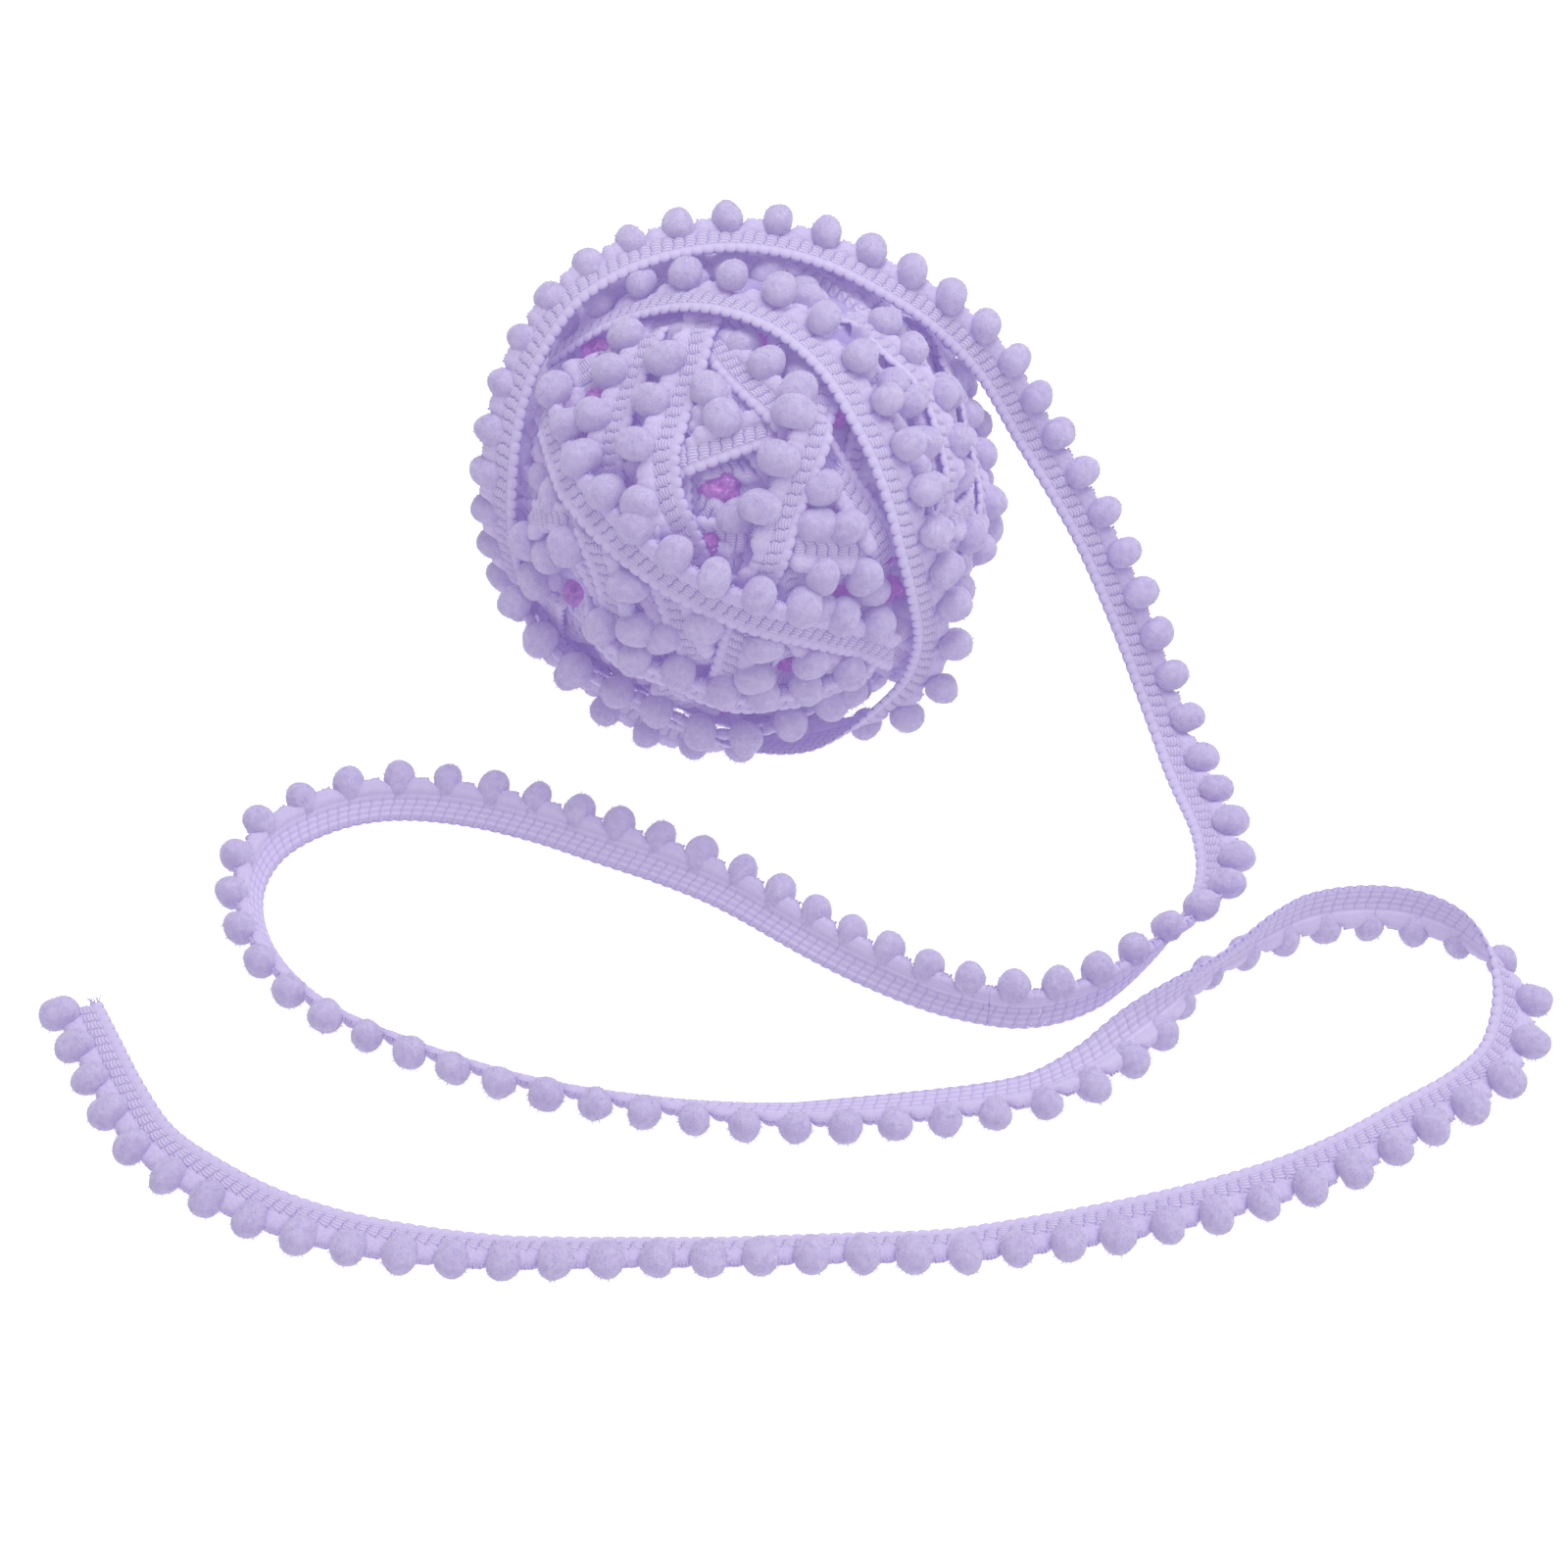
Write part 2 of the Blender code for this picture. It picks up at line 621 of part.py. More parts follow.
def make_loose_end(material, loose):
    middle, heading, towards, _ = loose
    tape = make_tape(material, middle, heading, towards)
    cut_with(tape, make_pompoms(pompom_places(loose)), "UNION")
    drop_slivers(tape)
    thin_out(tape, LOOSE_FACES)
    return tape


def main():
    for obj in list(bpy.data.objects):
        bpy.data.objects.remove(obj, do_unlink=True)
    lilac = (0.52, 0.46, 0.78)
    loose = loose_route()
    make_core(finish_material("pink_film", (0.45, 0.11, 0.52), 0.35))
    make_winding(finish_material("lilac_winding", lilac, 0.95), loose)
    make_loose_end(finish_material("lilac_trim", lilac, 0.95), loose)


main()
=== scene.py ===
"""Pompom fringe trim: a knitted tape edged with velvety pompoms, wound round crumpled film.

The wound turns, the loose end, the pompoms, the knots between them, the film in the gaps, the
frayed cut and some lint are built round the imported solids.
"""
import math

import bpy
import numpy as np
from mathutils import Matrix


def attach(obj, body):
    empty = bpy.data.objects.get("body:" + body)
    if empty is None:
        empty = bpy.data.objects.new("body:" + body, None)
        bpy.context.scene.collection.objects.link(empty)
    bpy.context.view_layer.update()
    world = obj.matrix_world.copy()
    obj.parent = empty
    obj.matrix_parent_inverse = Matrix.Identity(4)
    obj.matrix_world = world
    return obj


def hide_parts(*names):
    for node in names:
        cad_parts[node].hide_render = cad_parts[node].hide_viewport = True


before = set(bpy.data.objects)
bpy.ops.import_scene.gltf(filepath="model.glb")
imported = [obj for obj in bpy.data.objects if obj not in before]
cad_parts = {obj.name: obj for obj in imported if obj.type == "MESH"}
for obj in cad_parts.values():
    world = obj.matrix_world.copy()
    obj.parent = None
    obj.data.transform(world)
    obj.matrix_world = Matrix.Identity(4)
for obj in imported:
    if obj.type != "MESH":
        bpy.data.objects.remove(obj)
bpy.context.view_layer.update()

MM = 0.001

# ---- sizes, the same as the solids' ----
TAPE_WIDTH = 7.0 * MM
TAPE_THICK = 1.5 * MM
POMPOM_R = 3.2 * MM
POMPOM_OUT = 1.3 * MM
POMPOM_PITCH = 8.8 * MM
BALL_HEIGHT = 48.0 * MM
FACE_TILT = math.radians(44)
UNDER_R = 44.8 * MM
TURN_LIFT = 1.5 * MM
WOUND_LIMIT_R = 50.0 * MM
TURN_GAP = 1.5 * MM
POMPOM_REACH = TAPE_WIDTH / 2 + POMPOM_OUT
CENTRE = np.array([0.0, 0.0, BALL_HEIGHT])
ACROSS = np.array([1.0, 0.0, 0.0])
FACE_UP = np.array([0.0, math.sin(FACE_TILT), math.cos(FACE_TILT)])
FACE_OUT = np.array([0.0, -math.cos(FACE_TILT), math.sin(FACE_TILT)])

# ---- sizes of the knit ----
COURSES = 4  # crosswise ribs to each pompom
COURSE = POMPOM_PITCH / COURSES
HALF = TAPE_WIDTH / 2
STRAND = 0.62 * MM  # width of one fine strand in the knit
STITCH_ROW = 1.15 * MM  # rows of stitches on the plain side
TUCK_IN = 2.7 * MM  # a tucked pompom moves back along the tape's width
TUCK_DOWN = 3.3 * MM  # and goes behind the tape
DEEP_TURNS = 13
DEEP_R = 43.4 * MM
SHELL_R = 43.9 * MM
FILM_R = 40.2 * MM
FLOOR_Z = 0.02 * MM
NEAR_BALL_R = WOUND_LIMIT_R + 12 * MM
CLEAR_SPACING = 1.9 * MM  # each point of the loose tape clears this much round it

# ---- the last, loose turn: a ring round the ball, seen along the ball's best face ----
LAST_TURN = (
    # turn_deg, reach_mm, proud_mm, lift_deg
    (148, 42.5, 19.5, 63), (136, 39.3, 25.2, 58), (123, 36.3, 29.8, 51), (108, 33.3, 34.8, 45),
    (92, 30.2, 38.8, 38), (74, 27.5, 41.6, 33), (57, 25.5, 43.0, 30), (41, 24.5, 43.7, 29),
    (20, 24.5, 43.7, 29), (3, 26.5, 42.6, 32), (-12, 30.0, 40.4, 36), (-24, 34.5, 37.0, 42),
    (-33, 40.5, 30.5, 50), (-40, 46.5, 21.5, 55), (-48, 50.8, 13.5, 50), (-57, 52.0, 8.0, 64),
    (-66, 52.0, 3.0, 95), (-76, 51.6, -1.5, 122), (-89, 50.9, -6.5, 98), (-103, 50.3, -10.5, 54),
    (-116, 49.3, -12.5, 50), (-130, 48.0, -11.5, 56), (-144, 47.4, -6.5, 62),
    (-156, 47.8, 5.0, 64), (-168, 46.6, 16.0, 47), (-181, 45.0, 24.0, 30), (-196, 44.8, 26.6, 25),
    (-211, 45.4, 28.0, 24), (-226, 46.0, 28.6, 27), (-239, 45.4, 28.4, 26),
    (-252, 44.8, 27.2, 26), (-266, 44.5, 25.8, 28), (-280, 44.4, 24.6, 28),
    (-294, 44.7, 23.6, 28), (-307, 45.7, 21.4, 27), (-318, 48.0, 18.0, 25),
    (-328, 50.6, 13.4, 19), (-337, 53.2, 8.4, 16),
)
# how far the pompoms of the last turn are tucked behind the tape, or stand before it
TUCK = (
    # turn_deg, share
    (148, -0.3), (-50, -0.3), (-75, 0.0), (-140, 0.1), (-156, 0.3), (-185, 0.4), (-215, 0.5),
    (-239, 0.4), (-252, 0.25), (-266, 0.1), (-318, 0.0),
)
DROP = (
    # x_mm, y_mm, z_mm, lean_deg
    (56, 6, 56.5, 30), (62, 1, 48.5, 32), (68, -4, 39.5, 30), (73, -9, 30.0, 26),
    (77.5, -14, 20.5, 20), (81.5, -19.5, 11.5, 12), (85, -27, 5.0, 7),
)
FLOOR_RUN = (
    # x_mm, y_mm, lean_deg
    (88, -38, 8), (91, -51, 12), (90.5, -62, 24), (86, -72, 52), (77.5, -83, 82), (66, -94, 102),
    (53, -98.5, 109), (39, -95.5, 115), (26, -88.5, 128), (14, -80, 138), (-2, -67.5, 142),
    (-14, -60.5, 143), (-27, -54.5, 143), (-40, -48.5, 144), (-54, -44, 145), (-68, -42.5, 146),
    (-80, -45.5, 146), (-90, -53.5, 138), (-93.5, -65, 128), (-91, -78, 128), (-84, -89.5, 132),
    (-74, -98.5, 136), (-61, -105.5, 139), (-47.5, -111.5, 141), (-34, -116, 143),
    (-20, -119, 147), (-7, -120.8, 152), (6, -121.5, 160), (20, -121, 168), (33, -120, 173),
    (46, -118, 174), (55, -115.5, 177), (64, -110.5, 191), (71, -105, 217), (78, -99.5, 253),
    (85, -93, 285), (92, -87, 288), (99, -81.5, 270), (107, -76.5, 256), (117, -74.5, 251),
    (126, -75.5, 254), (133.5, -79.5, 266), (139, -86, 296), (142, -94, 333), (141, -102, 350),
    (137.5, -109.5, 358), (130, -116.5, 360), (121, -122.5, 359), (110, -130, 357),
    (98.5, -136, 358), (86.5, -140.5, 360), (73.5, -144.3, 363), (60, -147.3, 367),
    (47, -149.5, 373), (34, -151, 380), (21, -151.5, 384), (9, -152, 385), (-4, -152.5, 385),
    (-18, -152.5, 384), (-31, -152.5, 381), (-45, -152, 375), (-58, -150.5, 369),
    (-70, -148, 364), (-82, -143.5, 360), (-93, -137, 358), (-103, -129, 357),
    (-110, -118.5, 358), (-117, -105, 362), (-121, -97, 366),
)
FACE_TURNS = (
    # name, side, ((across_mm, up_mm), ...)
    ("left_low", 1, ((-29, -5), (-27.2, -12.7), (-25.5, -19), (-24.3, -26), (-23.5, -32))),
    ("low_left", 1, ((-17.5, -15), (-16, -19), (-13.2, -24.6), (-11, -30.4), (-9, -35))),
    ("low_short", 1, ((1.8, -26), (-0.3, -32), (-2.2, -38))),
    ("bottom_row", 1, ((-28, -31), (-20, -37), (-11.5, -40.5), (-3.5, -43.3), (4.5, -43.8),
                       (15, -41.8), (23, -38.5))),
    ("underside_row", 1, ((-45.5, -14.5), (-42, -23), (-37, -30.5), (-30, -37.3), (-21.5, -42.8),
                          (-11, -46.6), (0, -47.9), (10, -46.8), (18, -44.3))),
    ("right_limb", 1, ((38, 29), (43, 20), (46.5, 10), (47.8, -1), (46.2, -12), (42, -22))),
    ("right_inner", -1, ((14.5, 6), (16.6, 2.8), (19.9, -2.2), (23.3, -7.1), (26, -12))),
    ("middle_fold", 1, ((-10, 1), (-2, 4), (7, 7))),
    ("upper_short", 1, ((-3.5, 22.1), (-0.9, 18.6), (2.8, 14.4), (7.1, 10))),
    ("upper_left", -1, ((-17.7, 25.8), (-19.4, 21.1), (-21.6, 16.6), (-23, 11.3), (-24.1, 6.9))),
    ("right_rim", 1, ((25.4, 27.8), (28.8, 23.6), (33.3, 18.9), (36.6, 13.4), (38.6, 7.4),
                      (40.2, 0.8))),
    ("left_middle", -1, ((-7.3, 27.4), (-9.2, 20.3), (-11.4, 13.5), (-12.9, 7.1), (-14, 1.3),
                         (-13.5, -4.6), (-12.5, -8.2))),
    ("right_middle", -1, ((17.2, 15.5), (15.5, 11.3), (13.5, 4.2), (11, -3.2), (8.7, -9),
                          (6.4, -15.8))),
    ("diagonal", 1, ((-38, 12), (-36.2, 7.9), (-31.8, -1.5), (-24.9, -10.3), (-17.5, -17),
                     (-8.7, -22.9), (1.6, -27.2), (11.9, -30), (23.3, -32.6), (31.5, -34))),
)
UNDER_TURNS = 9
UNDER_ADVANCE = math.radians(137)
UNDER_TIP = (math.radians(25), math.radians(75), math.radians(50))
UNDER_SWAY = 0.12

# places where the film bulges out between the turns, on the front and at the back
PUFFS = (
    # across_mm, up_mm, size_mm
    (-28.6, 24.5, 3.6), (-27.5, 13.5, 3.0), (-33.5, -14.3, 3.4), (-32.5, -23.2, 3.0),
    (-27.1, -31.5, 3.4), (-20.3, -31.2, 3.0), (-3.4, -4.2, 3.4), (-5.2, -14.5, 2.6),
    (2.8, 23.8, 2.6), (10.4, 19.1, 2.6), (19.1, 10.1, 2.6), (14.5, -7.2, 3.0),
    (27.8, -15.6, 3.8), (29.4, -22.6, 3.4), (21.0, -22.9, 3.0), (0.0, -37.3, 3.4),
    (10.1, -36.3, 3.8), (-4.1, -44.5, 2.6),
)
BACK_PUFFS = ((-20, 14, 4.0), (16, 22, 4.0), (6, -12, 4.4), (26, -2, 3.6))


# ---- small tools ----
def unit(v):
    return v / np.linalg.norm(v, axis=-1, keepdims=True)


def square_to(v, axis):
    """The unit vectors v turned square to the unit vectors of the axis."""
    return unit(v - axis * np.sum(v * axis, axis=1, keepdims=True))


def between(cosines, radius=WOUND_LIMIT_R):
    """Distances along a ball of this radius, from the cosines of the angles."""
    return np.arccos(np.clip(cosines, -1, 1)) * radius


def eased(t):
    t = np.clip(t, 0.0, 1.0)
    return t * t * (3 - 2 * t)


def face_point(across, up, radius, side=1):
    depth = math.sqrt(max(radius ** 2 - across ** 2 - up ** 2, 0.0))
    return ACROSS * across + FACE_UP * up + FACE_OUT * depth * side


def smooth_path(keys, step):
    """A smooth curve through the keys, resampled at an even step of its first three columns."""
    fine = refined(np.asarray(keys, dtype=float), 12)
    strides = np.linalg.norm(np.diff(fine[:, :3], axis=0), axis=1)
    travelled = np.concatenate([[0.0], np.cumsum(strides)])
    count = max(int(round(travelled[-1] / step)), 2)
    stations = np.linspace(0.0, travelled[-1], count + 1)
    return np.column_stack([np.interp(stations, travelled, column) for column in fine.T])


def refined(rows, parts):
    """The rows with parts - 1 more between each pair, on a smooth curve through them."""
    padded = np.concatenate([2 * rows[:1] - rows[1:2], rows, 2 * rows[-1:] - rows[-2:-1]])
    p0, p1, p2, p3 = padded[:-3, None], padded[1:-2, None], padded[2:-1, None], padded[3:, None]
    t = (np.arange(parts) / parts).reshape(1, parts, *([1] * (rows.ndim - 1)))
    fine = 0.5 * (2 * p1 + (p2 - p0) * t + (2 * p0 - 5 * p1 + 4 * p2 - p3) * t ** 2
                  + (3 * p1 - p0 - 3 * p2 + p3) * t ** 3)
    return np.concatenate([fine.reshape(-1, *rows.shape[1:]), rows[-1:]])


def geodesic(freq):
    """Unit points and triangles of an icosahedron whose faces are split freq times."""
    golden = (1 + math.sqrt(5)) / 2
    corners = unit(np.array([(-1, golden, 0), (1, golden, 0), (-1, -golden, 0), (1, -golden, 0),
                             (0, -1, golden), (0, 1, golden), (0, -1, -golden), (0, 1, -golden),
                             (golden, 0, -1), (golden, 0, 1), (-golden, 0, -1), (-golden, 0, 1)]))
    faces = ((0, 11, 5), (0, 5, 1), (0, 1, 7), (0, 7, 10), (0, 10, 11), (1, 5, 9), (5, 11, 4),
             (11, 10, 2), (10, 7, 6), (7, 1, 8), (3, 9, 4), (3, 4, 2), (3, 2, 6), (3, 6, 8),
             (3, 8, 9), (4, 9, 5), (2, 4, 11), (6, 2, 10), (8, 6, 7), (9, 8, 1))
    found = {}
    points = []
    triangles = []

    def place(a, b, c, i, j):
        spot = (corners[a] * (freq - i - j) + corners[b] * i + corners[c] * j) / freq
        key = tuple(np.round(spot, 7))
        if key not in found:
            found[key] = len(points)
            points.append(spot)
        return found[key]

    for a, b, c in faces:
        for i in range(freq):
            for j in range(freq - i):
                triangles.append((place(a, b, c, i, j), place(a, b, c, i + 1, j),
                                  place(a, b, c, i, j + 1)))
                if i + j < freq - 1:
                    triangles.append((place(a, b, c, i + 1, j), place(a, b, c, i + 1, j + 1),
                                      place(a, b, c, i, j + 1)))
    return unit(np.array(points)), np.array(triangles)


def placed(name, data):
    made = bpy.data.objects.new(name, data)
    bpy.context.scene.collection.objects.link(made)
    return made


def mesh_piece(name, points, faces, material, knit=None, smooth=True):
    """A visible piece from arrays; its faces all have the same number of corners."""
    points = np.array(points, dtype=np.float32).reshape(-1, 3)
    faces = np.asarray(faces, dtype=np.int32)
    points[:, 2] = np.maximum(points[:, 2], FLOOR_Z)
    corners = faces.shape[1]
    mesh = bpy.data.meshes.new(name)
    mesh.vertices.add(len(points))
    mesh.vertices.foreach_set("co", points.ravel())
    mesh.loops.add(faces.size)
    mesh.loops.foreach_set("vertex_index", faces.ravel())
    mesh.polygons.add(len(faces))
    mesh.polygons.foreach_set("loop_start", np.arange(len(faces), dtype=np.int32) * corners)
    mesh.update(calc_edges=True)
    mesh.polygons.foreach_set("use_smooth", np.full(len(faces), smooth))
    if knit is not None:
        layer = mesh.attributes.new("knit", "FLOAT_VECTOR", "POINT")
        layer.data.foreach_set("vector", np.asarray(knit, dtype=np.float32).ravel())
    mesh.materials.append(material)
    mesh.validate()
    piece = placed(name, mesh)
    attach(piece, "root")
    return piece


class Pile:
    """Gathers the points and faces of many small forms for one piece."""

    def __init__(self):
        self.points = []
        self.faces = []
        self.knit = []
        self.count = 0

    def add(self, points, faces, knit=None):
        self.points.append(points)
        self.faces.append(np.asarray(faces) + self.count)
        self.count += len(points)
        if knit is not None:
            self.knit.append(knit)

    def piece(self, name, material, smooth=True):
        knit = np.concatenate(self.knit) if self.knit else None
        return mesh_piece(name, np.concatenate(self.points), np.concatenate(self.faces), material,
                          knit, smooth)


# ---- materials ----
def operators(operation):
    """An operator on sockets and its reflected form."""
    return (lambda self, other: self.math(operation, self, other),
            lambda self, other: self.math(operation, other, self))


class Value:
    """A socket of a material's node; arithmetic on it adds Math nodes."""

    def __init__(self, finish, socket):
        self.finish = finish
        self.socket = socket

    def math(self, operation, *values):
        return self.finish.node("ShaderNodeMath", {"operation": operation}, dict(enumerate(values)))

    __add__, __radd__ = operators("ADD")
    __sub__, __rsub__ = operators("SUBTRACT")
    __mul__, __rmul__ = operators("MULTIPLY")

    def wave(self):
        return self.math("SINE", self * (2 * math.pi)) * 0.5 + 0.5


class Finish:
    """One material: its nodes and what feeds its shader."""

    def __init__(self, name, **shader):
        self.material = bpy.data.materials.new(name)
        self.material.use_nodes = True
        self.tree = self.material.node_tree
        self.shader = self.tree.nodes["Principled BSDF"]
        for key, value in shader.items():
            self.shader.inputs[key.replace("_", " ")].default_value = value

    def node(self, kind, settings, sockets, output=0):
        made = self.tree.nodes.new(kind)
        for key, value in settings.items():
            setattr(made, key, value)
        for key, value in sockets.items():
            self.feed(made.inputs[key], value)
        return Value(self, made.outputs[output])

    def feed(self, socket, value):
        if isinstance(value, Value):
            self.tree.links.new(value.socket, socket)
        else:
            socket.default_value = value

    def set(self, name, value):
        self.feed(self.shader.inputs[name], value)

    def place(self):
        return self.node("ShaderNodeTexCoord", {}, {}, "Object")

    def noise(self, size, detail=2.0, roughness=0.5):
        """Cloudy noise whose clouds are about this many metres across."""
        return self.node("ShaderNodeTexNoise", {}, {"Vector": self.place(), "Scale": 1 / size,
                                                    "Detail": detail, "Roughness": roughness})

    def colours(self, factor, low, high):
        return self.blend(factor, (*low, 1.0), (*high, 1.0))

    def blend(self, factor, low, high):
        return self.node("ShaderNodeMix", {"data_type": "RGBA", "clamp_factor": True},
                         {0: factor, 6: low, 7: high}, 2)

    def relief(self, height, distance, strength=1.0):
        self.set("Normal", self.node("ShaderNodeBump", {}, {"Height": height, "Distance": distance,
                                                           "Strength": strength}, "Normal"))

    def knit(self):
        """Strand place, strand strength and depth, as stored on a knitted piece; the depth sets the
        painted shade.
        """
        stored = self.node("ShaderNodeAttribute", {"attribute_name": "knit"}, {}, "Vector")
        return [self.node("ShaderNodeSeparateXYZ", {}, {0: stored}, k) for k in range(3)]


def linear(red, green, blue):
    """Scene colour from 0-255 sRGB values, for the yarn's own tones and its painted shade alike."""
    def one(c):
        c /= 255
        return c / 12.92 if c <= 0.04045 else ((c + 0.055) / 1.055) ** 2.4
    return one(red), one(green), one(blue)


# Lilacs of the yarn. The pit colour is painted shade in the knit's grooves. On the knit the deep
# colour is painted shade and the light one is painted highlight; on the pompoms both are the ends of
# their own uneven tone.
LILAC_HIGHLIGHT_AND_LIGHT_TONE = linear(188, 183, 201)
LILAC = linear(168, 161, 190)
LILAC_SHADE_AND_DEEP_TONE = linear(136, 126, 174)
LILAC_PIT_SHADE = linear(84, 72, 146)
YARN_PAINTED_GLOW = (0.58, 0.42, 1.0, 1.0)  # painted glow: a faint violet emission on the yarn that keeps its shade bright and violet, standing in for light through the thin yarn


def knitted_finish():
    # Painted glow: the emission lifts the yarn's shade to a bright violet.
    f = Finish("knitted_yarn", Roughness=0.88, Sheen_Weight=0.25, Sheen_Roughness=0.4,
               Emission_Color=YARN_PAINTED_GLOW, Emission_Strength=0.22, Specular_IOR_Level=0.2)
    strand, strength, depth = f.knit()
    strands = strand.wave()
    fuzz = f.noise(0.35 * MM, 3.0, 0.6)
    cloud = f.noise(14 * MM)
    # Painted shade and highlight: the colour runs from the dark pit shade at the bottom of the knit's
    # grooves to the light colour on its tops, with painted highlights along the strands. The fuzz and
    # cloud noise is the yarn's own uneven tone.
    low = f.colours(depth * 2.4, LILAC_PIT_SHADE, LILAC_SHADE_AND_DEEP_TONE)
    high = f.colours(depth * 0.7 - 0.15 + (strands - 0.5) * strength * 1.5 + (fuzz - 0.5) * 0.7
                     + (cloud - 0.5) * 0.25, LILAC, LILAC_HIGHLIGHT_AND_LIGHT_TONE)
    f.set("Base Color", f.blend(depth * 2.6 - 0.35, low, high))
    f.relief(strands * strength * 1.3 + fuzz * 0.8, 0.16 * MM, 0.8)
    return f.material


def pompom_finish():
    # Painted glow: the same emission lifts the pompoms' shade to a bright violet.
    f = Finish("velvet_pompom", Roughness=0.95, Sheen_Weight=0.45, Sheen_Roughness=0.35,
               Emission_Color=YARN_PAINTED_GLOW, Emission_Strength=0.22, Specular_IOR_Level=0.15)
    pile = f.noise(0.28 * MM, 4.0, 0.7)
    clumps = f.noise(1.3 * MM, 2.0)
    cloud = f.noise(15 * MM)
    shade = (pile - 0.5) * 1.1 + (clumps - 0.5) * 0.8 + (cloud - 0.5) * 0.3 + 0.66
    f.set("Base Color", f.colours(shade, LILAC_SHADE_AND_DEEP_TONE, LILAC_HIGHLIGHT_AND_LIGHT_TONE))
    f.relief(pile + clumps, 0.3 * MM, 0.8)
    return f.material


def film_finish():
    # Painted glow: the emission lifts the film's shade to a bright pinkish violet.
    f = Finish("crumpled_film", Roughness=0.32, Coat_Weight=0.3, Coat_Roughness=0.15,
               Emission_Color=(0.66, 0.34, 1.0, 1.0), Emission_Strength=0.24)
    wrinkle = f.noise(2.2 * MM, 4.0, 0.6)
    cloud = f.noise(5 * MM)
    shade = (wrinkle - 0.5) * 1.6 + (cloud - 0.5) * 1.2 + 0.35
    f.set("Base Color", f.colours(shade, linear(92, 56, 128), linear(190, 128, 186)))
    f.set("Roughness", wrinkle * 0.3 + 0.2)
    f.relief(wrinkle, 0.5 * MM, 0.6)
    return f.material


def lint_finish():
    f = Finish("white_lint", Roughness=0.9, Sheen_Weight=0.3)
    f.set("Base Color", f.colours(f.noise(0.4 * MM), linear(226, 222, 240), linear(250, 249, 253)))
    return f.material


KNITTED = knitted_finish()
VELVET = pompom_finish()
FILM = film_finish()
LINT = lint_finish()


# ---- the knit's relief ----
def dome(course, offset=0.0, power=2.0):
    """Over each course 0 at its borders and 1 in its middle."""
    return 1 - np.abs(2 * np.mod(course + offset, 1.0) - 1) ** power


def rounded(across, middle, half, power):
    """1 in the middle of a band across the tape, falling to 0 at its borders."""
    return np.clip(1 - np.abs((across - middle) / half) ** power, 0, 1)


def seam(course):
    """1 where two courses meet."""
    return np.exp(-((np.mod(course + 0.5, 1.0) - 0.5) / 0.125) ** 2)


# bands along the tape's face: middle in mm across it, half width in mm, squareness
LIP = (-2.5, 1.15, 2.2)
LIP_EDGE = (-3.1, 0.8, 2)
BRICKS = (0.0, 1.85, 6)
LOBES = (3.0, 1.65, 3)
LOBE_BACKS = (3.0, 1.9, 3)
LIP_HEIGHT = 0.30  # mm over the plain tape
BRICK_HEIGHT = 0.42
LOBE_HEIGHT = 1.35
FACE_DEPTH = 0.30  # mm from the middle layer to the bottom of the knit
BACK_DEPTH = 0.34
LOBE_OUT = 1.5  # mm that a puffy lobe spreads past the tape's edge
LOBE_HALF = 1.25  # courses that half a puffy lobe covers
SEAM_SHIFT = 1 / 7  # courses by which the seams slant from band to band


def swelling(place):
    """How far a lobe swells, and how far out: puffy between the pompoms, small under them."""
    off = (np.mod(place + 2, COURSES) - 2) / LOBE_HALF
    puffy = np.sqrt(np.clip(1 - off ** 2, 0, 1)) * (1 - 0.16 * seam(place))
    small = 0.42 * dome(place, 0.0, 2.6)
    return np.where(np.abs(off) < 1, np.maximum(puffy, small), small), np.maximum(puffy, 0.12)


def front_relief(course, across, parts):
    """Height over the middle layer, sideways spread and strand strength of the face.

    It has a lip with a scallop to each course, bricks with slanting seams, and lobes.
    """
    slant = np.select([across < -0.6, across < 0.8], [0.0, SEAM_SHIFT], 2 * SEAM_SHIFT)
    place = course - np.round(slant * parts) / parts
    meeting = seam(place)
    swell, reach = swelling(place)
    bump = dome(course, 0.5, 2.4)
    zigzag = 0.35 * np.abs(np.mod(place, 1.0) - 0.5)
    notch = seam(course + np.round(parts / 2) / parts) * rounded(across, *LIP_EDGE)
    lip = rounded(across, *LIP) * (LIP_HEIGHT + 0.12 * bump)
    brick = rounded(across + zigzag, *BRICKS) * BRICK_HEIGHT * (1 - meeting)
    lobe = rounded(across, *LOBES) * (0.06 + LOBE_HEIGHT * swell)
    height = FACE_DEPTH + np.maximum(np.maximum(lip, brick), lobe) - 0.16 * notch
    spread = (eased((across - 1.9) / 1.5) * LOBE_OUT * reach
              + eased((-2.4 - across) / 1.1) * (0.15 - 0.28 * bump))
    strength = np.where(brick > lobe, 1.0, 0.15) * np.where(across < -1.6, 0.2, 1.0)
    return height, spread, strength


def back_relief(course, across, parts):
    """Height on the plain side: flat stitches, and the backs of the puffy lobes."""
    shift = np.round(0.17 * parts * np.floor((across + 3.5) / (STITCH_ROW / MM))) / parts
    stitches = 1 - 0.85 * seam(course + shift)
    swell, _ = swelling(course - np.round(2 * parts * SEAM_SHIFT) / parts)
    lobe = rounded(across, *LOBE_BACKS) * swell
    return BACK_DEPTH + np.maximum(0.2 * stitches, 0.55 * lobe)


# places across the tape, in mm, where a section has points on its face
FINE_PLACES = (-3.5, -3.35, -3.05, -2.6, -2.1, -1.7, -1.5, -1.25, -0.9, -0.55, -0.15, 0.25, 0.65,
               0.95, 1.3, 1.55, 1.8, 2.1, 2.5, 2.9, 3.2, 3.4, 3.5)
PLAIN_PLACES = (-3.5, -3.2, -2.5, -1.7, -1.2, -0.55, 0.0, 0.85, 1.5, 1.9, 2.5, 3.1, 3.5)
DEEP_PLACES = (-3.5, -2.5, -1.2, 0.0, 1.2, 2.6, 3.5)


def section(front, back_count):
    """Places across the tape in mm round its section, and which side each is on."""
    back = np.linspace(3.5, -3.5, back_count + 2)[1:-1]
    return np.concatenate([front, back]), np.repeat([1.0, -1.0], [len(front), back_count])


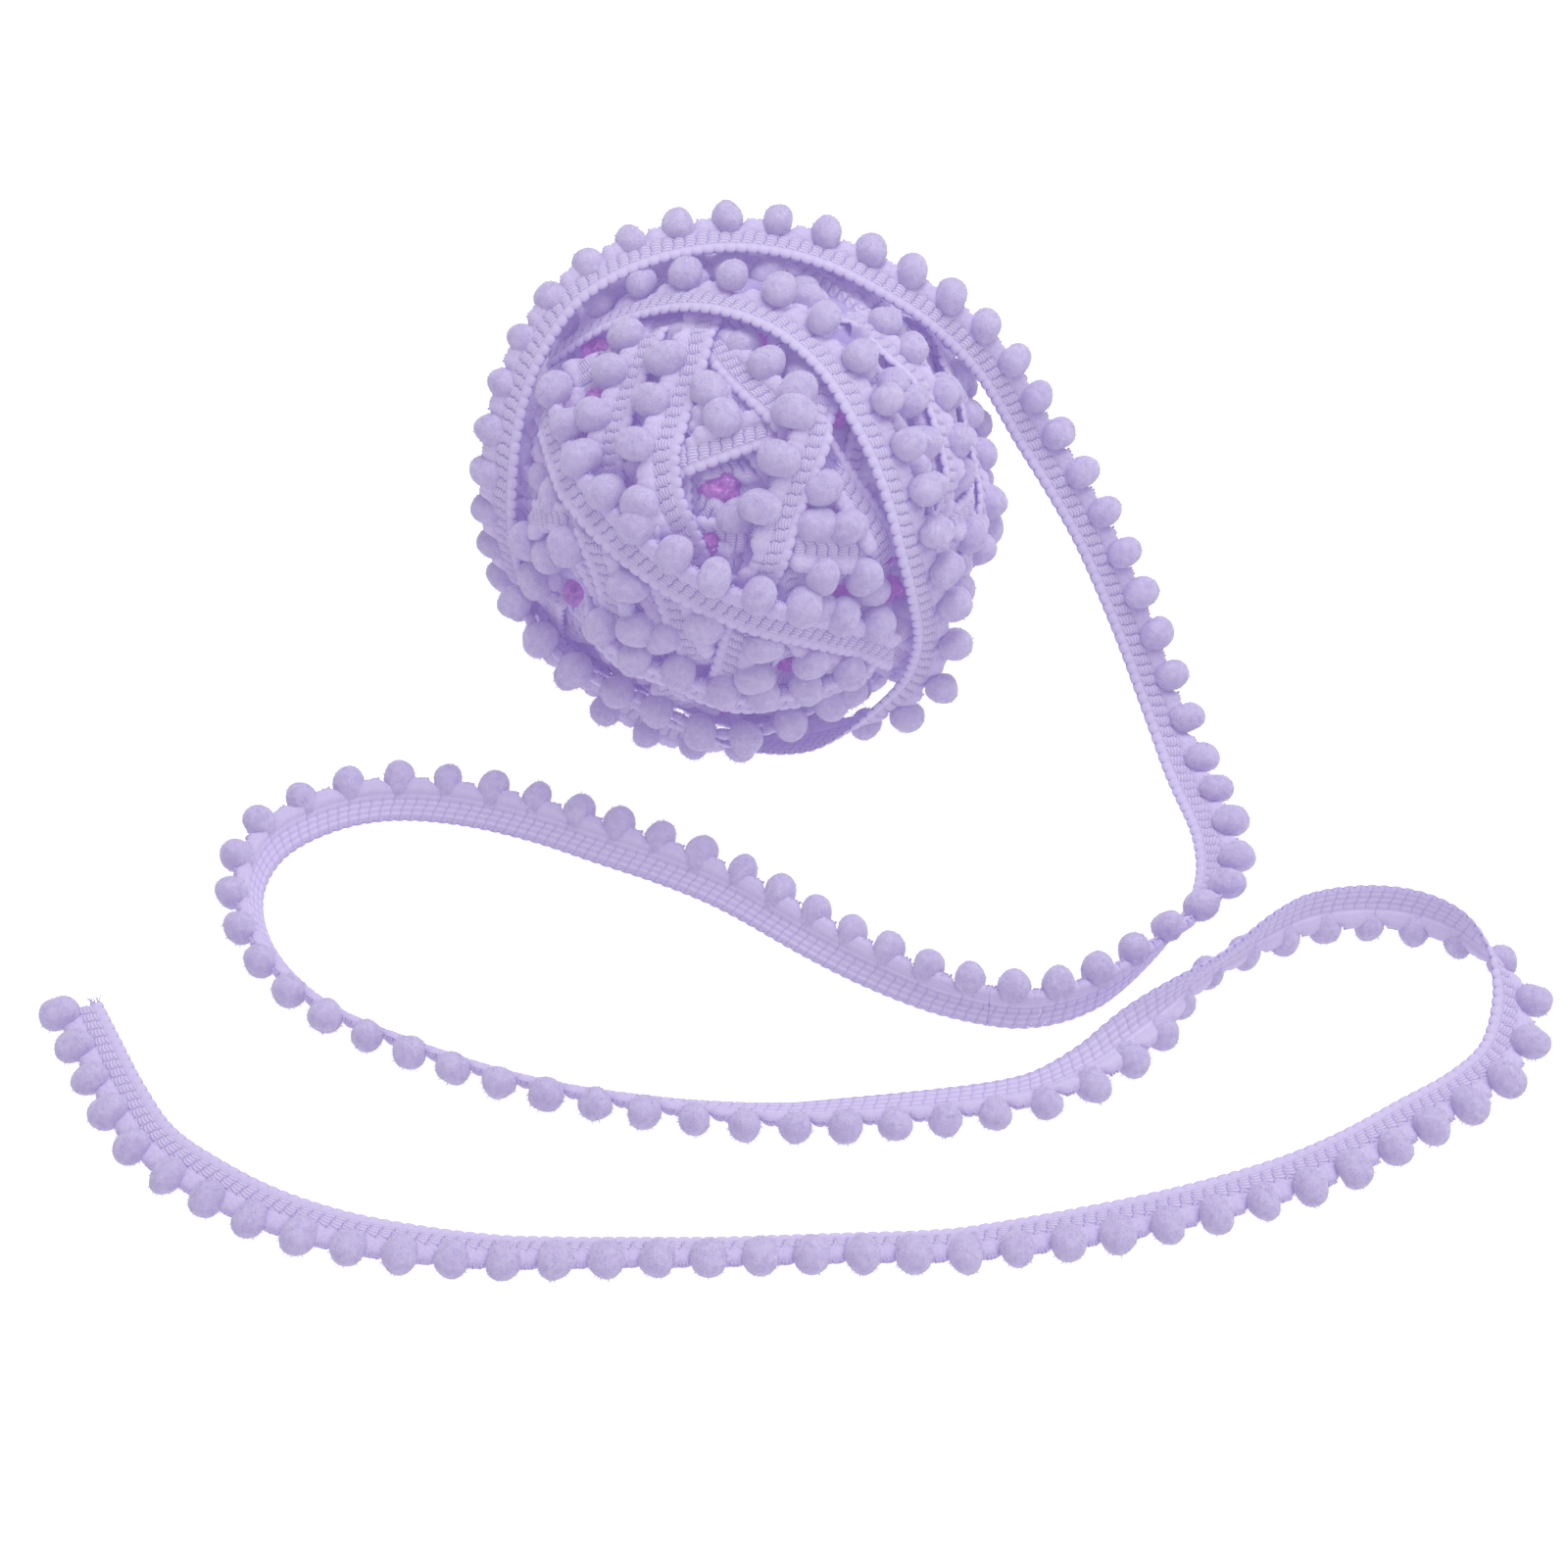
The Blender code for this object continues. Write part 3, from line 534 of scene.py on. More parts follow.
def knit_surface(course, across, side, parts):
    """Height, sideways spread and stored knit values for courses by places across."""
    course = course[:, None]
    across = np.broadcast_to(across, (len(course), len(across)))
    front, spread, strength = front_relief(course, across, parts)
    is_front = side[None, :] > 0
    height = np.where(is_front, front, back_relief(course, across, parts))
    strength = np.where(is_front, strength, np.where(across < 1.6, 0.55, 0.15))
    # The stored depth paints shade: it is 0 at the bottom of grooves and pits, where the yarn is
    # painted darkest, and 1 on the tops. The lobes stop short of the lightest colour.
    deepest = np.where(is_front, 0.24, 0.23)
    lightest = np.where(across > 1.5, 0.78, 1.0)
    depth = np.clip((height - deepest) / 0.44, 0, lightest)
    rim = np.sqrt(np.clip(1 - (np.clip(np.abs(across) - 2.95, 0, 1) / 0.55) ** 2, 0.0, 1))
    arch = (np.mod(course, 1.0) - 0.5) ** 2 * 1.6
    strand = np.where(is_front, (across + arch) * MM / STRAND, across * MM / STITCH_ROW)
    knit = np.stack([strand, strength, depth], axis=-1)
    return height * rim * side[None, :] * MM, spread * MM, knit


def wall_faces(grid):
    """Four-cornered faces between the rows of a grid of points, each row a closed ring."""
    here, ahead = grid[:-1], grid[1:]
    quads = np.stack([here, np.roll(here, -1, 1), np.roll(ahead, -1, 1), ahead], axis=-1)
    return quads.reshape(-1, 4)


def section_faces(stations, around):
    """Faces between stations, and fans of quads that close both ends."""
    grid = np.arange(stations * around).reshape(stations, around)
    caps = []
    half = around // 2
    for k in range(half - 1):
        low = (grid[0, k], grid[0, k + 1], grid[0, -k - 2], grid[0, -k - 1])
        high = (grid[-1, k], grid[-1, -k - 1], grid[-1, -k - 2], grid[-1, k + 1])
        caps += [low, high]
    return np.concatenate([wall_faces(grid), np.array(caps)])


# ---- the loose trim ----
def lean_vector(heading, lean_deg):
    level = np.array([heading[0], heading[1], 0.0])
    left = unit(np.array([-level[1], level[0], 0.0]))
    rise = np.cross(unit(heading), left)
    lean = math.radians(lean_deg)
    return math.cos(lean) * left + math.sin(lean) * rise


def resting_height(across_z):
    on_pompoms = POMPOM_R - POMPOM_REACH * across_z
    face_z = math.sqrt(max(1.0 - across_z ** 2, 0.0))
    return max(on_pompoms, HALF * across_z + TAPE_THICK / 2 * face_z)


def loose_route():
    """Stations along the loose trim: tape middle, heading, the way towards the pompoms, tuck."""
    rows = []
    tuck_turns, tuck_shares = zip(*reversed(TUCK))
    for turn, reach, proud, lift in LAST_TURN:
        around, aside = math.radians(turn), math.radians(lift)
        spoke = math.cos(around) * ACROSS + math.sin(around) * FACE_UP
        middle = CENTRE + spoke * reach * MM + FACE_OUT * proud * MM
        towards = math.cos(aside) * spoke - math.sin(aside) * FACE_OUT
        tuck = np.interp(turn, tuck_turns, tuck_shares)
        rows.append(np.concatenate([middle, towards, [0.0, tuck]]))
    drop = [np.array([x, y, z]) * MM for x, y, z, _ in DROP]
    for spot, fall, (*_, lean) in zip(drop, np.gradient(drop, axis=0), DROP):
        rows.append(np.concatenate([spot, lean_vector(fall, lean), [0.0, 0.0]]))
    floor = [np.array([x, y, 0.0]) * MM for x, y, _ in FLOOR_RUN]
    for spot, heading, (_, _, lean) in zip(floor, np.gradient(floor, axis=0), FLOOR_RUN):
        towards = lean_vector(heading, lean)
        lift = np.array([0.0, 0.0, resting_height(towards[2])])
        rows.append(np.concatenate([spot + lift, towards, [1.0, 0.0]]))
    stations = smooth_path(rows, POMPOM_PITCH / 2)
    middle = stations[:, :3]
    heading = unit(np.gradient(middle, axis=0))
    towards = square_to(stations[:, 3:6], heading)
    laid = np.clip(stations[:, 6], 0.0, 1.0)
    resting = np.array([resting_height(z) for z in towards[:, 2]])
    middle[:, 2] = middle[:, 2] * (1 - laid) + resting * laid
    return middle, heading, towards, stations[:, 7]


def pompom_places(loose):
    """Pompom centres, one at every other station, held off the surface by their own radius."""
    middle, heading, towards, tuck = (column[1::2] for column in loose)
    tuck = tuck[:, None]
    places = (middle + towards * (POMPOM_REACH - TUCK_IN * tuck)
              - np.cross(heading, towards) * TUCK_DOWN * tuck)
    places[:, 2] = np.maximum(places[:, 2], POMPOM_R)
    return places


LOOSE = loose_route()
LOOSE_PARTS = 12  # sections between two stations, which are two courses apart
CURL = 1.2 * MM  # the lobes bend back this far, behind the pompoms
POMPOM_FORWARD = 0.4 * MM  # the pompoms stand before the tape's middle layer
POMPOM_IN = 0.05 * MM
LOOSE_POMPOM_SIZE = 1.03


def loose_tape(name, first, last):
    """The stretch of the loose tape between two stations, as one knitted sheet."""
    middle, _, towards, _ = (column[first:last + 1] for column in LOOSE)
    rows = refined(np.column_stack([middle, towards]), LOOSE_PARTS)
    spots = rows[:, :3]
    heading = unit(np.gradient(spots, axis=0))
    out = square_to(rows[:, 3:], heading)
    face = np.cross(heading, out)
    course = first * 2 + np.arange(len(rows)) * 2 / LOOSE_PARTS
    across, side = section(FINE_PLACES, 9)
    height, spread, knit = knit_surface(course, across, side, LOOSE_PARTS // 2)
    bent = height - CURL * eased((across - 0.6) / 2.6)
    points = (spots[:, None] + out[:, None] * (across * MM + spread)[..., None]
              + face[:, None] * bent[..., None])
    points[..., 2] = np.maximum(points[..., 2], FLOOR_Z)
    faces = section_faces(len(rows), len(across))
    piece = mesh_piece(name, points, faces, KNITTED, knit)
    on_wall = np.arange(len(faces)) < (len(rows) - 1) * len(across)
    piece.data.polygons.foreach_set("use_smooth", on_wall)
    return piece, (last - first) * POMPOM_PITCH / 2


# ---- pompoms ----
def pompom_forms(centres, lobes, freq, seed, size):
    """Lumpy balls, a little longer towards the tape; returns points and faces."""
    directions, triangles = geodesic(freq)
    chance = np.random.default_rng(seed)
    count = len(centres)
    lumps = unit(chance.normal(size=(count, 4, 3)))
    phase = chance.uniform(0, 2 * math.pi, (count, 4, 1))
    waves = np.sin(np.einsum("nkc,jc->nkj", lumps, directions) * 4.2 + phase).sum(axis=1)
    scale = chance.uniform(0.95, 1.05, (count, 1)) * size
    lean = np.einsum("nc,jc->nj", lobes, directions)
    radii = POMPOM_R * scale * (0.92 + 0.024 * waves + 0.2 * lean ** 2)
    points = centres[:, None] + directions[None] * radii[..., None]
    faces = (triangles[None] + (np.arange(count) * len(directions))[:, None, None]).reshape(-1, 3)
    return points, faces


FIBRE_R = 0.07 * MM
KNOT_YARN_R = 0.27 * MM
KNOT_OUT = HALF + 1.3 * MM  # the knots sit on the tips of the lobes


def fuzz(name, points, centres, per_ball, seed):
    """Short fibres that stand on the pompoms, each a thin three-sided spike."""
    chance = np.random.default_rng(seed)
    count, around, _ = points.shape
    picks = chance.integers(0, around, (count, per_ball))
    roots = np.take_along_axis(points, picks[..., None], axis=1)
    out = unit(roots - centres[:, None])
    length = chance.uniform(0.35, 0.85, (count, per_ball, 1)) * MM
    lean = chance.normal(size=out.shape) * 0.5
    tips = roots + unit(out + lean) * length
    side = unit(np.cross(out, unit(lean + [0.1, 0.2, 0.3])))
    other = np.cross(out, side)
    spread = [side, -0.5 * side + 0.87 * other, -0.5 * side - 0.87 * other]
    feet = [roots - out * 0.05 * MM + s * FIBRE_R for s in spread]
    corners = np.stack([*feet, tips], axis=2).reshape(-1, 3)
    base = np.arange(count * per_ball)[:, None, None] * 4
    faces = (np.array([(0, 1, 3), (1, 2, 3), (2, 0, 3)])[None] + base).reshape(-1, 3)
    keep = corners[faces].min(axis=1)[:, 2] > FLOOR_Z
    return mesh_piece(name, corners, faces[keep], VELVET)


def pompom_pieces(name, fuzz_name, centres, lobes, freq, size, per_ball, seeds):
    """The pompoms round these centres as one piece, and their fuzz as another."""
    points, faces = pompom_forms(centres, lobes, freq, seeds[0], size)
    pompoms = mesh_piece(name, points, faces, VELVET)
    return pompoms, fuzz(fuzz_name, points, centres, per_ball, seeds[1])


def strand_tube(pile, line, radius, sides=5):
    """A thin round strand along a line, narrowed at both ends."""
    line = np.asarray(line)
    heading = unit(np.gradient(line, axis=0))
    helper = unit(np.cross(heading, heading[0] + np.array([0.31, 0.57, 0.76])))
    other = np.cross(heading, helper)
    taper = np.ones(len(line))
    taper[[0, -1]] = 0.25
    angle = np.arange(sides) * 2 * math.pi / sides
    ring = helper[:, None] * np.cos(angle)[:, None] + other[:, None] * np.sin(angle)[:, None]
    points = line[:, None] + ring * (radius * taper)[:, None, None]
    quads = wall_faces(np.arange(len(line) * sides).reshape(len(line), sides))
    faces = np.concatenate([quads[:, [0, 1, 2]], quads[:, [0, 2, 3]]])
    knit = np.tile([0.0, 0.3, 0.55], (len(line) * sides, 1))
    pile.add(points.reshape(-1, 3), faces, knit)


def add_knot(pile, spot, heading, towards, face, chance, sides):
    """Three small loops of yarn, side by side, that tie the trim between two pompoms."""
    turn = np.linspace(0, 1.75, 8) * math.pi
    for place in (-0.62, 0.0, 0.62):
        size = 0.36 * MM * chance.uniform(0.85, 1.15)
        tip = chance.uniform(-0.5, 0.5)
        across = towards * math.cos(tip) + heading * math.sin(tip)
        shift = heading * place + face * 0.1 + towards * chance.uniform(-0.1, 0.1)
        line = (spot + shift * MM + across * (np.cos(turn) * size)[:, None]
                + face * (np.sin(turn) * size * 0.8)[:, None]
                + heading * ((turn / math.pi - 0.9) * 0.22 * MM)[:, None])
        strand_tube(pile, line, KNOT_YARN_R, sides)


def loose_pompoms():
    """The pompoms of the loose trim with their fuzz and the knots between them."""
    middle, heading, towards, _ = LOOSE
    face = np.cross(heading, towards)
    centres = pompom_places(LOOSE) + face[1::2] * POMPOM_FORWARD - towards[1::2] * POMPOM_IN
    centres[:, 2] = np.maximum(centres[:, 2], POMPOM_R)
    lobes = unit(-towards[1::2] + 0.3 * face[1::2])
    pompoms, fibres = pompom_pieces("loose_pompoms", "loose_fuzz", centres, lobes, 5,
                                    LOOSE_POMPOM_SIZE, 140, (11, 12))
    knots = Pile()
    chance = np.random.default_rng(13)
    for k in range(0, len(middle), 2):
        spot = middle[k] + towards[k] * KNOT_OUT - face[k] * (CURL - 0.25 * MM)
        spot[2] = max(spot[2], 0.8 * MM)
        add_knot(knots, spot, heading[k], towards[k], face[k], chance, 5)
    return pompoms, fibres, knots.piece("loose_knots", KNITTED)


# ---- the wound ball ----
def turn_ways():
    """Every wound turn, lowest first: unit directions one course apart, side and level."""
    turns = []
    for n in range(-DEEP_TURNS, UNDER_TURNS):
        roll = n * UNDER_ADVANCE
        tip = UNDER_TIP[n % len(UNDER_TIP)]
        pole = np.array([math.cos(roll) * math.sin(tip), math.sin(roll) * math.sin(tip),
                         math.cos(tip)])
        start = unit(np.cross(pole, FACE_OUT))
        other = np.cross(pole, start)
        angles = np.arange(0.0, 2 * math.pi, COURSE / WOUND_LIMIT_R)
        way = [start * math.cos(a) + other * math.sin(a) + pole * UNDER_SWAY * math.sin(2 * a + n)
               for a in angles]
        level = "deep" if n < 0 else "under"
        turns.append((unit(np.array(way)), 1.0 if n % 2 else -1.0, level, 0.0))
    for name, side, places in FACE_TURNS:
        keys = [face_point(a * MM, u * MM, WOUND_LIMIT_R - TURN_LIFT) for a, u in places]
        way = unit(smooth_path(keys, COURSE))
        turns.append((extended(way, END_COURSES), float(side), "face", RISE.get(name, 0.0)))
    return turns


def extended(way, more):
    """The way carried on by some courses at both ends, so that the ends pass under others."""
    step = COURSE / WOUND_LIMIT_R
    before, after = [way[0]], [way[-1]]
    for line, last, next_last in ((before, way[0], way[1]), (after, way[-1], way[-2])):
        heading = unit(last - next_last)
        for _ in range(more):
            spot = unit(line[-1] + heading * step)
            heading = unit(heading - spot * (heading @ spot))
            line.append(spot)
    return np.concatenate([np.array(before[:0:-1]), way, np.array(after[1:])])


def clear_of_last_turn(directions):
    """How far the ball may reach under the loose last turn: its tape, then its pompoms."""
    middle, _, towards, _ = LOOSE
    reach = np.ones(len(directions))
    for offset in np.linspace(-0.5, 0.5, 7) * (TAPE_WIDTH + MM):
        line = middle - CENTRE + towards * offset
        for spot in np.vstack([line, (line[1:] + line[:-1]) / 2]):
            far = np.linalg.norm(spot)
            if far > NEAR_BALL_R:
                continue
            near = directions @ (spot / far) > math.cos(CLEAR_SPACING / far)
            reach[near] = np.minimum(reach[near], far - TAPE_THICK / 2 - TURN_GAP)
    for spot in pompom_places(LOOSE) - CENTRE:
        if np.linalg.norm(spot) > NEAR_BALL_R:
            continue
        along = directions @ spot
        inside = along ** 2 - spot @ spot + (POMPOM_R + TURN_GAP) ** 2
        hit = (inside > 0) & (along > 0)
        reach[hit] = np.minimum(reach[hit], along[hit] - np.sqrt(inside[hit]))
    return reach


RISE = {"underside_row": 1.6 * MM}  # turns that stand further out than the ones below them
PUFF_TOP = 45.4 * MM
puff_ways = unit(np.array([face_point(a * MM, u * MM, PUFF_TOP) for a, u, _ in PUFFS]
                          + [face_point(a * MM, u * MM, PUFF_TOP, -1) for a, u, _ in BACK_PUFFS]))
puff_sizes = np.array([size for _, _, size in PUFFS + BACK_PUFFS]) * MM


def puff_ceiling(directions):
    """How far the lower turns may reach where the film bulges out between them."""
    share = between(directions @ puff_ways.T, PUFF_TOP) / (puff_sizes * 1.25)
    low = PUFF_TOP - 2.4 * MM + share ** 4 * 4 * MM
    return low.min(axis=1)


LANES = np.array([-3.5, -1.75, 0.0, 1.75, 3.5]) * MM
END_COURSES = 6  # a face turn is carried on this far, to pass under others
END_DIP = 4.5 * MM
COVER = 1.35 * MM  # a turn's middle layer lies this far under that of a later one


def wound_turns():
    """Each turn with the radius of its middle layer over courses by lanes, and what is buried."""
    grid, _ = geodesic(30)
    reach = np.full(len(grid), DEEP_R)
    turns = []
    chance = np.random.default_rng(21)
    for way, side, level, rise in turn_ways():
        beside = between(grid @ way.T)
        below = np.array([np.percentile(reach[beside[:, k] < HALF], 70) for k in range(len(way))])
        below = np.convolve(np.pad(below, 3, mode="edge"), np.ones(7) / 7, mode="valid")
        cap = UNDER_R + 0.4 * MM if level == "deep" else WOUND_LIMIT_R
        top = np.minimum(below + TURN_LIFT + rise, cap)
        nearest = beside.argmin(axis=1)
        on_tape = beside[np.arange(len(grid)), nearest] < HALF
        reach[on_tape] = top[nearest[on_tape]]
        heading = unit(np.gradient(way, axis=0))
        towards = np.cross(way, heading) * side
        steps = np.arange(len(way))
        tilt = chance.uniform(-0.12, 0.12) + 0.08 * np.sin(steps * 0.23 + chance.uniform(0, 6))
        radii = top[:, None] - TAPE_THICK / 2 + tilt[:, None] * LANES[None, :]
        if level == "face":
            ends = np.minimum(steps, steps[::-1])
            radii -= ((1 - eased(ends / END_COURSES)) * END_DIP)[:, None]
        spots = unit(way[:, None] + towards[:, None] * (LANES / WOUND_LIMIT_R)[None, :, None])
        turns.append(dict(way=way, heading=heading, towards=towards, level=level, side=side,
                          radii=radii, spots=spots, rise=rise))
    for n, turn in enumerate(turns):
        flat = turn["spots"].reshape(-1, 3)
        radii = turn["radii"].reshape(-1)
        covered = np.zeros(len(flat), bool)
        for later in turns[n + 1:]:
            beside = flat @ later["way"].T
            nearest = beside.argmax(axis=1)
            apart = between(beside.max(axis=1))
            under = apart < HALF + 0.3 * MM
            ceiling = later["radii"].min(axis=1)[nearest] - COVER
            radii = np.where(under, np.minimum(radii, ceiling), radii)
            covered |= apart < HALF
        if turn["level"] != "face":
            radii = np.minimum(radii, puff_ceiling(flat))
        radii = np.minimum(radii, clear_of_last_turn(flat) - 0.85 * MM)
        radii = np.minimum(radii, (BALL_HEIGHT - 0.4 * MM) / np.maximum(-flat[:, 2], 0.2))
        turn["radii"] = radii.reshape(-1, len(LANES))
        turn["buried"] = covered.reshape(-1, len(LANES)).all(axis=1)
    return turns


def turn_stretches(buried):
    """First and last course of each stretch that shows, with one buried course at either end."""
    shows = ~buried
    grown = shows.copy()
    grown[1:] |= shows[:-1]
    grown[:-1] |= shows[1:]
    edges = np.flatnonzero(np.diff(np.concatenate([[0], grown.astype(int), [0]])))
    return [(a, b - 1) for a, b in zip(edges[::2], edges[1::2]) if b - a >= 3]


def wound_tape(pile, turn, first, last, parts, front, backs):
    """One stretch of a wound turn, knitted, following the radii of its lanes."""
    way = unit(refined(turn["way"][first:last + 1], parts))
    towards = square_to(refined(turn["towards"][first:last + 1], parts), way)
    radii = refined(turn["radii"][first:last + 1], parts)
    course = first + np.arange(len(way)) / parts
    across, side = section(front, backs)
    height, spread, knit = knit_surface(course, across, side, parts)
    lane = np.clip((across * MM - LANES[0]) / (LANES[1] - LANES[0]), 0, len(LANES) - 1.001)
    low = lane.astype(int)
    share = lane - low
    base = radii[:, low] * (1 - share) + radii[:, low + 1] * share
    out = (across * MM + spread) / WOUND_LIMIT_R
    spots = unit(way[:, None] + towards[:, None] * out[..., None])
    points = CENTRE + spots * (base + height)[..., None]
    faces = section_faces(len(way), len(across))
    if turn["side"] > 0:
        faces = faces[:, ::-1]
    pile.add(points.reshape(-1, 3), faces, knit.reshape(-1, 3))
    return (last - first) * COURSE


BALL_SPACING = 3.6 * MM  # pompoms nearer than this to a later one are hidden
LOWEST_POMPOM_R = 41.5 * MM
FRONT_LIMIT = -8 * MM  # pompoms further back than this are made plainer
WOUND_POMPOM_SIZE = 1.12  # the wound pompoms are fluffed up against those of the loose end
# name, facets, fibres to a pompom, seed
POMPOM_SETS = (("front_pompoms", 5, 140, 31), ("rear_pompoms", 4, 40, 32))


def wound_pompoms(turns):
    """Turn, course, direction and radius of the pompoms that show on the ball."""
    found = []
    for n, turn in enumerate(turns):
        skip = END_COURSES if turn["level"] == "face" else 2
        for k in range(skip, len(turn["way"]) - skip, COURSES):
            radius = turn["radii"][k, -1] + 0.9 * MM + turn["rise"] * 0.5
            out = (POMPOM_REACH + 0.4 * MM) / WOUND_LIMIT_R
            spot = unit(turn["way"][k] + turn["towards"][k] * out)
            found.append((n, k, spot, radius))
    kept = []
    spots = np.array([f[2] for f in found])
    owners = np.array([f[0] for f in found])
    limits = clear_of_last_turn(spots) - POMPOM_R * 0.9
    for (n, k, spot, radius), limit in zip(found, limits):
        tape_gap = min([between((later["way"] @ spot).max()) for later in turns[n + 1:]],
                       default=1.0)
        puff_gap = (between(puff_ways @ spot, PUFF_TOP) - puff_sizes * 0.9).min()
        others = spots[owners > n]
        ball_gap = between((others @ spot).max()) if len(others) else 1.0
        squeezed = turns[n]["level"] != "face" and puff_gap < 0
        if tape_gap < HALF + 0.6 * MM or squeezed or ball_gap < BALL_SPACING:
            continue
        radius = min(radius, limit, (BALL_HEIGHT - POMPOM_R * 0.8) / max(-spot[2], 0.2))
        if radius >= LOWEST_POMPOM_R:
            kept.append((n, k, spot, radius))
    return kept


# sections to a course, places on the face, places on the back
DETAIL = {"face": (6, FINE_PLACES, 3), "under": (4, PLAIN_PLACES, 2), "deep": (2, DEEP_PLACES, 1)}


def build_ball():
    """The pieces of the wound ball by name, and the length of tape in each level."""
    turns = wound_turns()
    lengths = dict.fromkeys(DETAIL, 0.0)
    piles = {level: Pile() for level in DETAIL}
    for turn in turns:
        level = turn["level"]
        for first, last in turn_stretches(turn["buried"]):
            lengths[level] += wound_tape(piles[level], turn, first, last, *DETAIL[level])
    pieces = {}
    for level, pile in piles.items():
        name = level + "_turns"
        pieces[name] = pile.piece(name, KNITTED)
    kept = wound_pompoms(turns)
    centres = np.array([CENTRE + spot * radius for _, _, spot, radius in kept])
    lobes = np.array([unit(-turns[n]["towards"][k] + 0.45 * spot) for n, k, spot, _ in kept])
    shown = (centres - CENTRE) @ FACE_OUT > FRONT_LIMIT
    for pick, (name, freq, fibres, seed) in zip((shown, ~shown), POMPOM_SETS):
        fuzz_name = name + "_fuzz"
        pieces[name], pieces[fuzz_name] = pompom_pieces(
            name, fuzz_name, centres[pick], lobes[pick], freq, WOUND_POMPOM_SIZE, fibres,
            (seed, seed + 5))
    knots = Pile()
    chance = np.random.default_rng(41)
    for n, k, _, _ in kept:
        turn, k = turns[n], k + 2
        if k >= len(turn["way"]):
            continue
        way, towards, heading = (turn[key][k] for key in ("way", "towards", "heading"))
        radius = turn["radii"][k, -1] + 0.1 * MM
        place = CENTRE + unit(way + towards * KNOT_OUT / WOUND_LIMIT_R) * radius
        add_knot(knots, place, heading, towards, way, chance, 4)
    pieces["wound_knots"] = knots.piece("wound_knots", KNITTED)
    return pieces, lengths


def inner_shell():
    """The tightly wound inside of the ball, which closes the view between the turns."""
    directions, triangles = geodesic(26)
    chance = np.random.default_rng(51)
    axes = unit(chance.normal(size=(9, 3)))
    ribs = np.abs(np.sin((directions @ axes.T) * 21)).mean(axis=1)
    radii = SHELL_R + (ribs - 0.5) * 2.4 * MM
    radii = np.minimum(radii, puff_ceiling(directions) - 1.5 * MM)
    strand = (directions @ axes[0]) * 70
    # The stored depth is held at half the range at most, so the shell is painted darker than the
    # turns, as shade deep down between them.
    knit = np.column_stack([strand, np.full(len(strand), 0.8), np.clip(ribs, 0, 1) * 0.5])
    points = CENTRE + directions * radii[:, None]
    return mesh_piece("inner_winding", points, triangles, KNITTED, knit)


# ---- film ----
CREASE_WIDTH = 1.6 * MM


def creases(directions, cells):
    """0 on the creases of crumpled film and up to 1 in the middle of its facets."""
    nearest = np.sort(directions @ cells.T, axis=1)[:, -2:]
    gap = between(nearest, FILM_R)
    return np.clip((gap[:, 0] - gap[:, 1]) / CREASE_WIDTH, 0, 1)


def film_core():
    """The ball of film, and the bulges of it that show between the turns."""
    chance = np.random.default_rng(61)
    pile = Pile()
    directions, triangles = geodesic(14)
    cells = unit(chance.normal(size=(260, 3)))
    radii = FILM_R - 1.4 * MM * creases(directions, cells)
    pile.add(CENTRE + directions * radii[:, None], triangles)
    rings, spokes = 11, 28
    angle = np.arange(spokes) * 2 * math.pi / spokes
    ring = np.column_stack([np.cos(angle), np.sin(angle)])
    flat = np.concatenate([np.zeros((1, 2)), *(ring * r for r in np.linspace(0, 1, rings + 1)[1:])])
    bearing = np.arctan2(flat[:, 1], flat[:, 0])
    faces = [(0, 1 + k, 1 + (k + 1) % spokes) for k in range(spokes)]
    for start in range(1, 1 + (rings - 1) * spokes, spokes):
        for k in range(spokes):
            a, b = start + k, start + (k + 1) % spokes
            faces += [(a, a + spokes, b), (b, a + spokes, b + spokes)]
    for way, size in zip(puff_ways, puff_sizes):
        side = unit(np.cross(way, FACE_UP + ACROSS * 0.3))
        other = np.cross(way, side)
        reach = size * 1.35
        spots = unit(way + (side * flat[:, :1] + other * flat[:, 1:]) * reach / PUFF_TOP)
        scatter = side * chance.uniform(-1, 1, (26, 1)) + other * chance.uniform(-1, 1, (26, 1))
        local = unit(way + scatter * reach / PUFF_TOP)
        first, second = chance.uniform(0, 2 * math.pi, 2)
        share = np.linalg.norm(flat, axis=1) * (1.12 + 0.26 * np.cos(2 * bearing + first)
                                                + 0.16 * np.cos(3 * bearing + second))
        radii = PUFF_TOP - 3.4 * MM * share ** 3 - 1.5 * MM * creases(spots, local) + 0.5 * MM
        pile.add(CENTRE + spots * radii[:, None], faces)
    return pile.piece("film_core", FILM, smooth=False)


# ---- the cut end and lint ----
def bent_yarn(pile, spot, way, bend, ends, radius):
    t = np.linspace(*ends, 6)[:, None]
    strand_tube(pile, spot + way * t + bend * t ** 2, radius, 4)


def frayed_end():
    """Cut yarns that splay out of the end of the tape."""
    middle, heading, towards, _ = LOOSE
    face = np.cross(heading[-1], towards[-1])
    chance = np.random.default_rng(71)
    pile = Pile()
    for _ in range(34):
        start = (middle[-1] + towards[-1] * chance.uniform(-0.48, 0.5) * TAPE_WIDTH
                 + face * chance.uniform(-0.3, 0.45) * MM - heading[-1] * 0.6 * MM)
        way = unit(heading[-1] + towards[-1] * chance.normal() * 0.35 + face * chance.normal() * 0.35)
        bend = unit(chance.normal(size=3)) * 0.3
        length = chance.uniform(1.2, 3.2) * MM
        bent_yarn(pile, start, way * length, bend * length, (0, 1), chance.uniform(0.08, 0.2) * MM)
    return pile.piece("frayed_end", KNITTED)


LINT_STRETCH = (118, 134)  # stations of the loose trim that caught lint


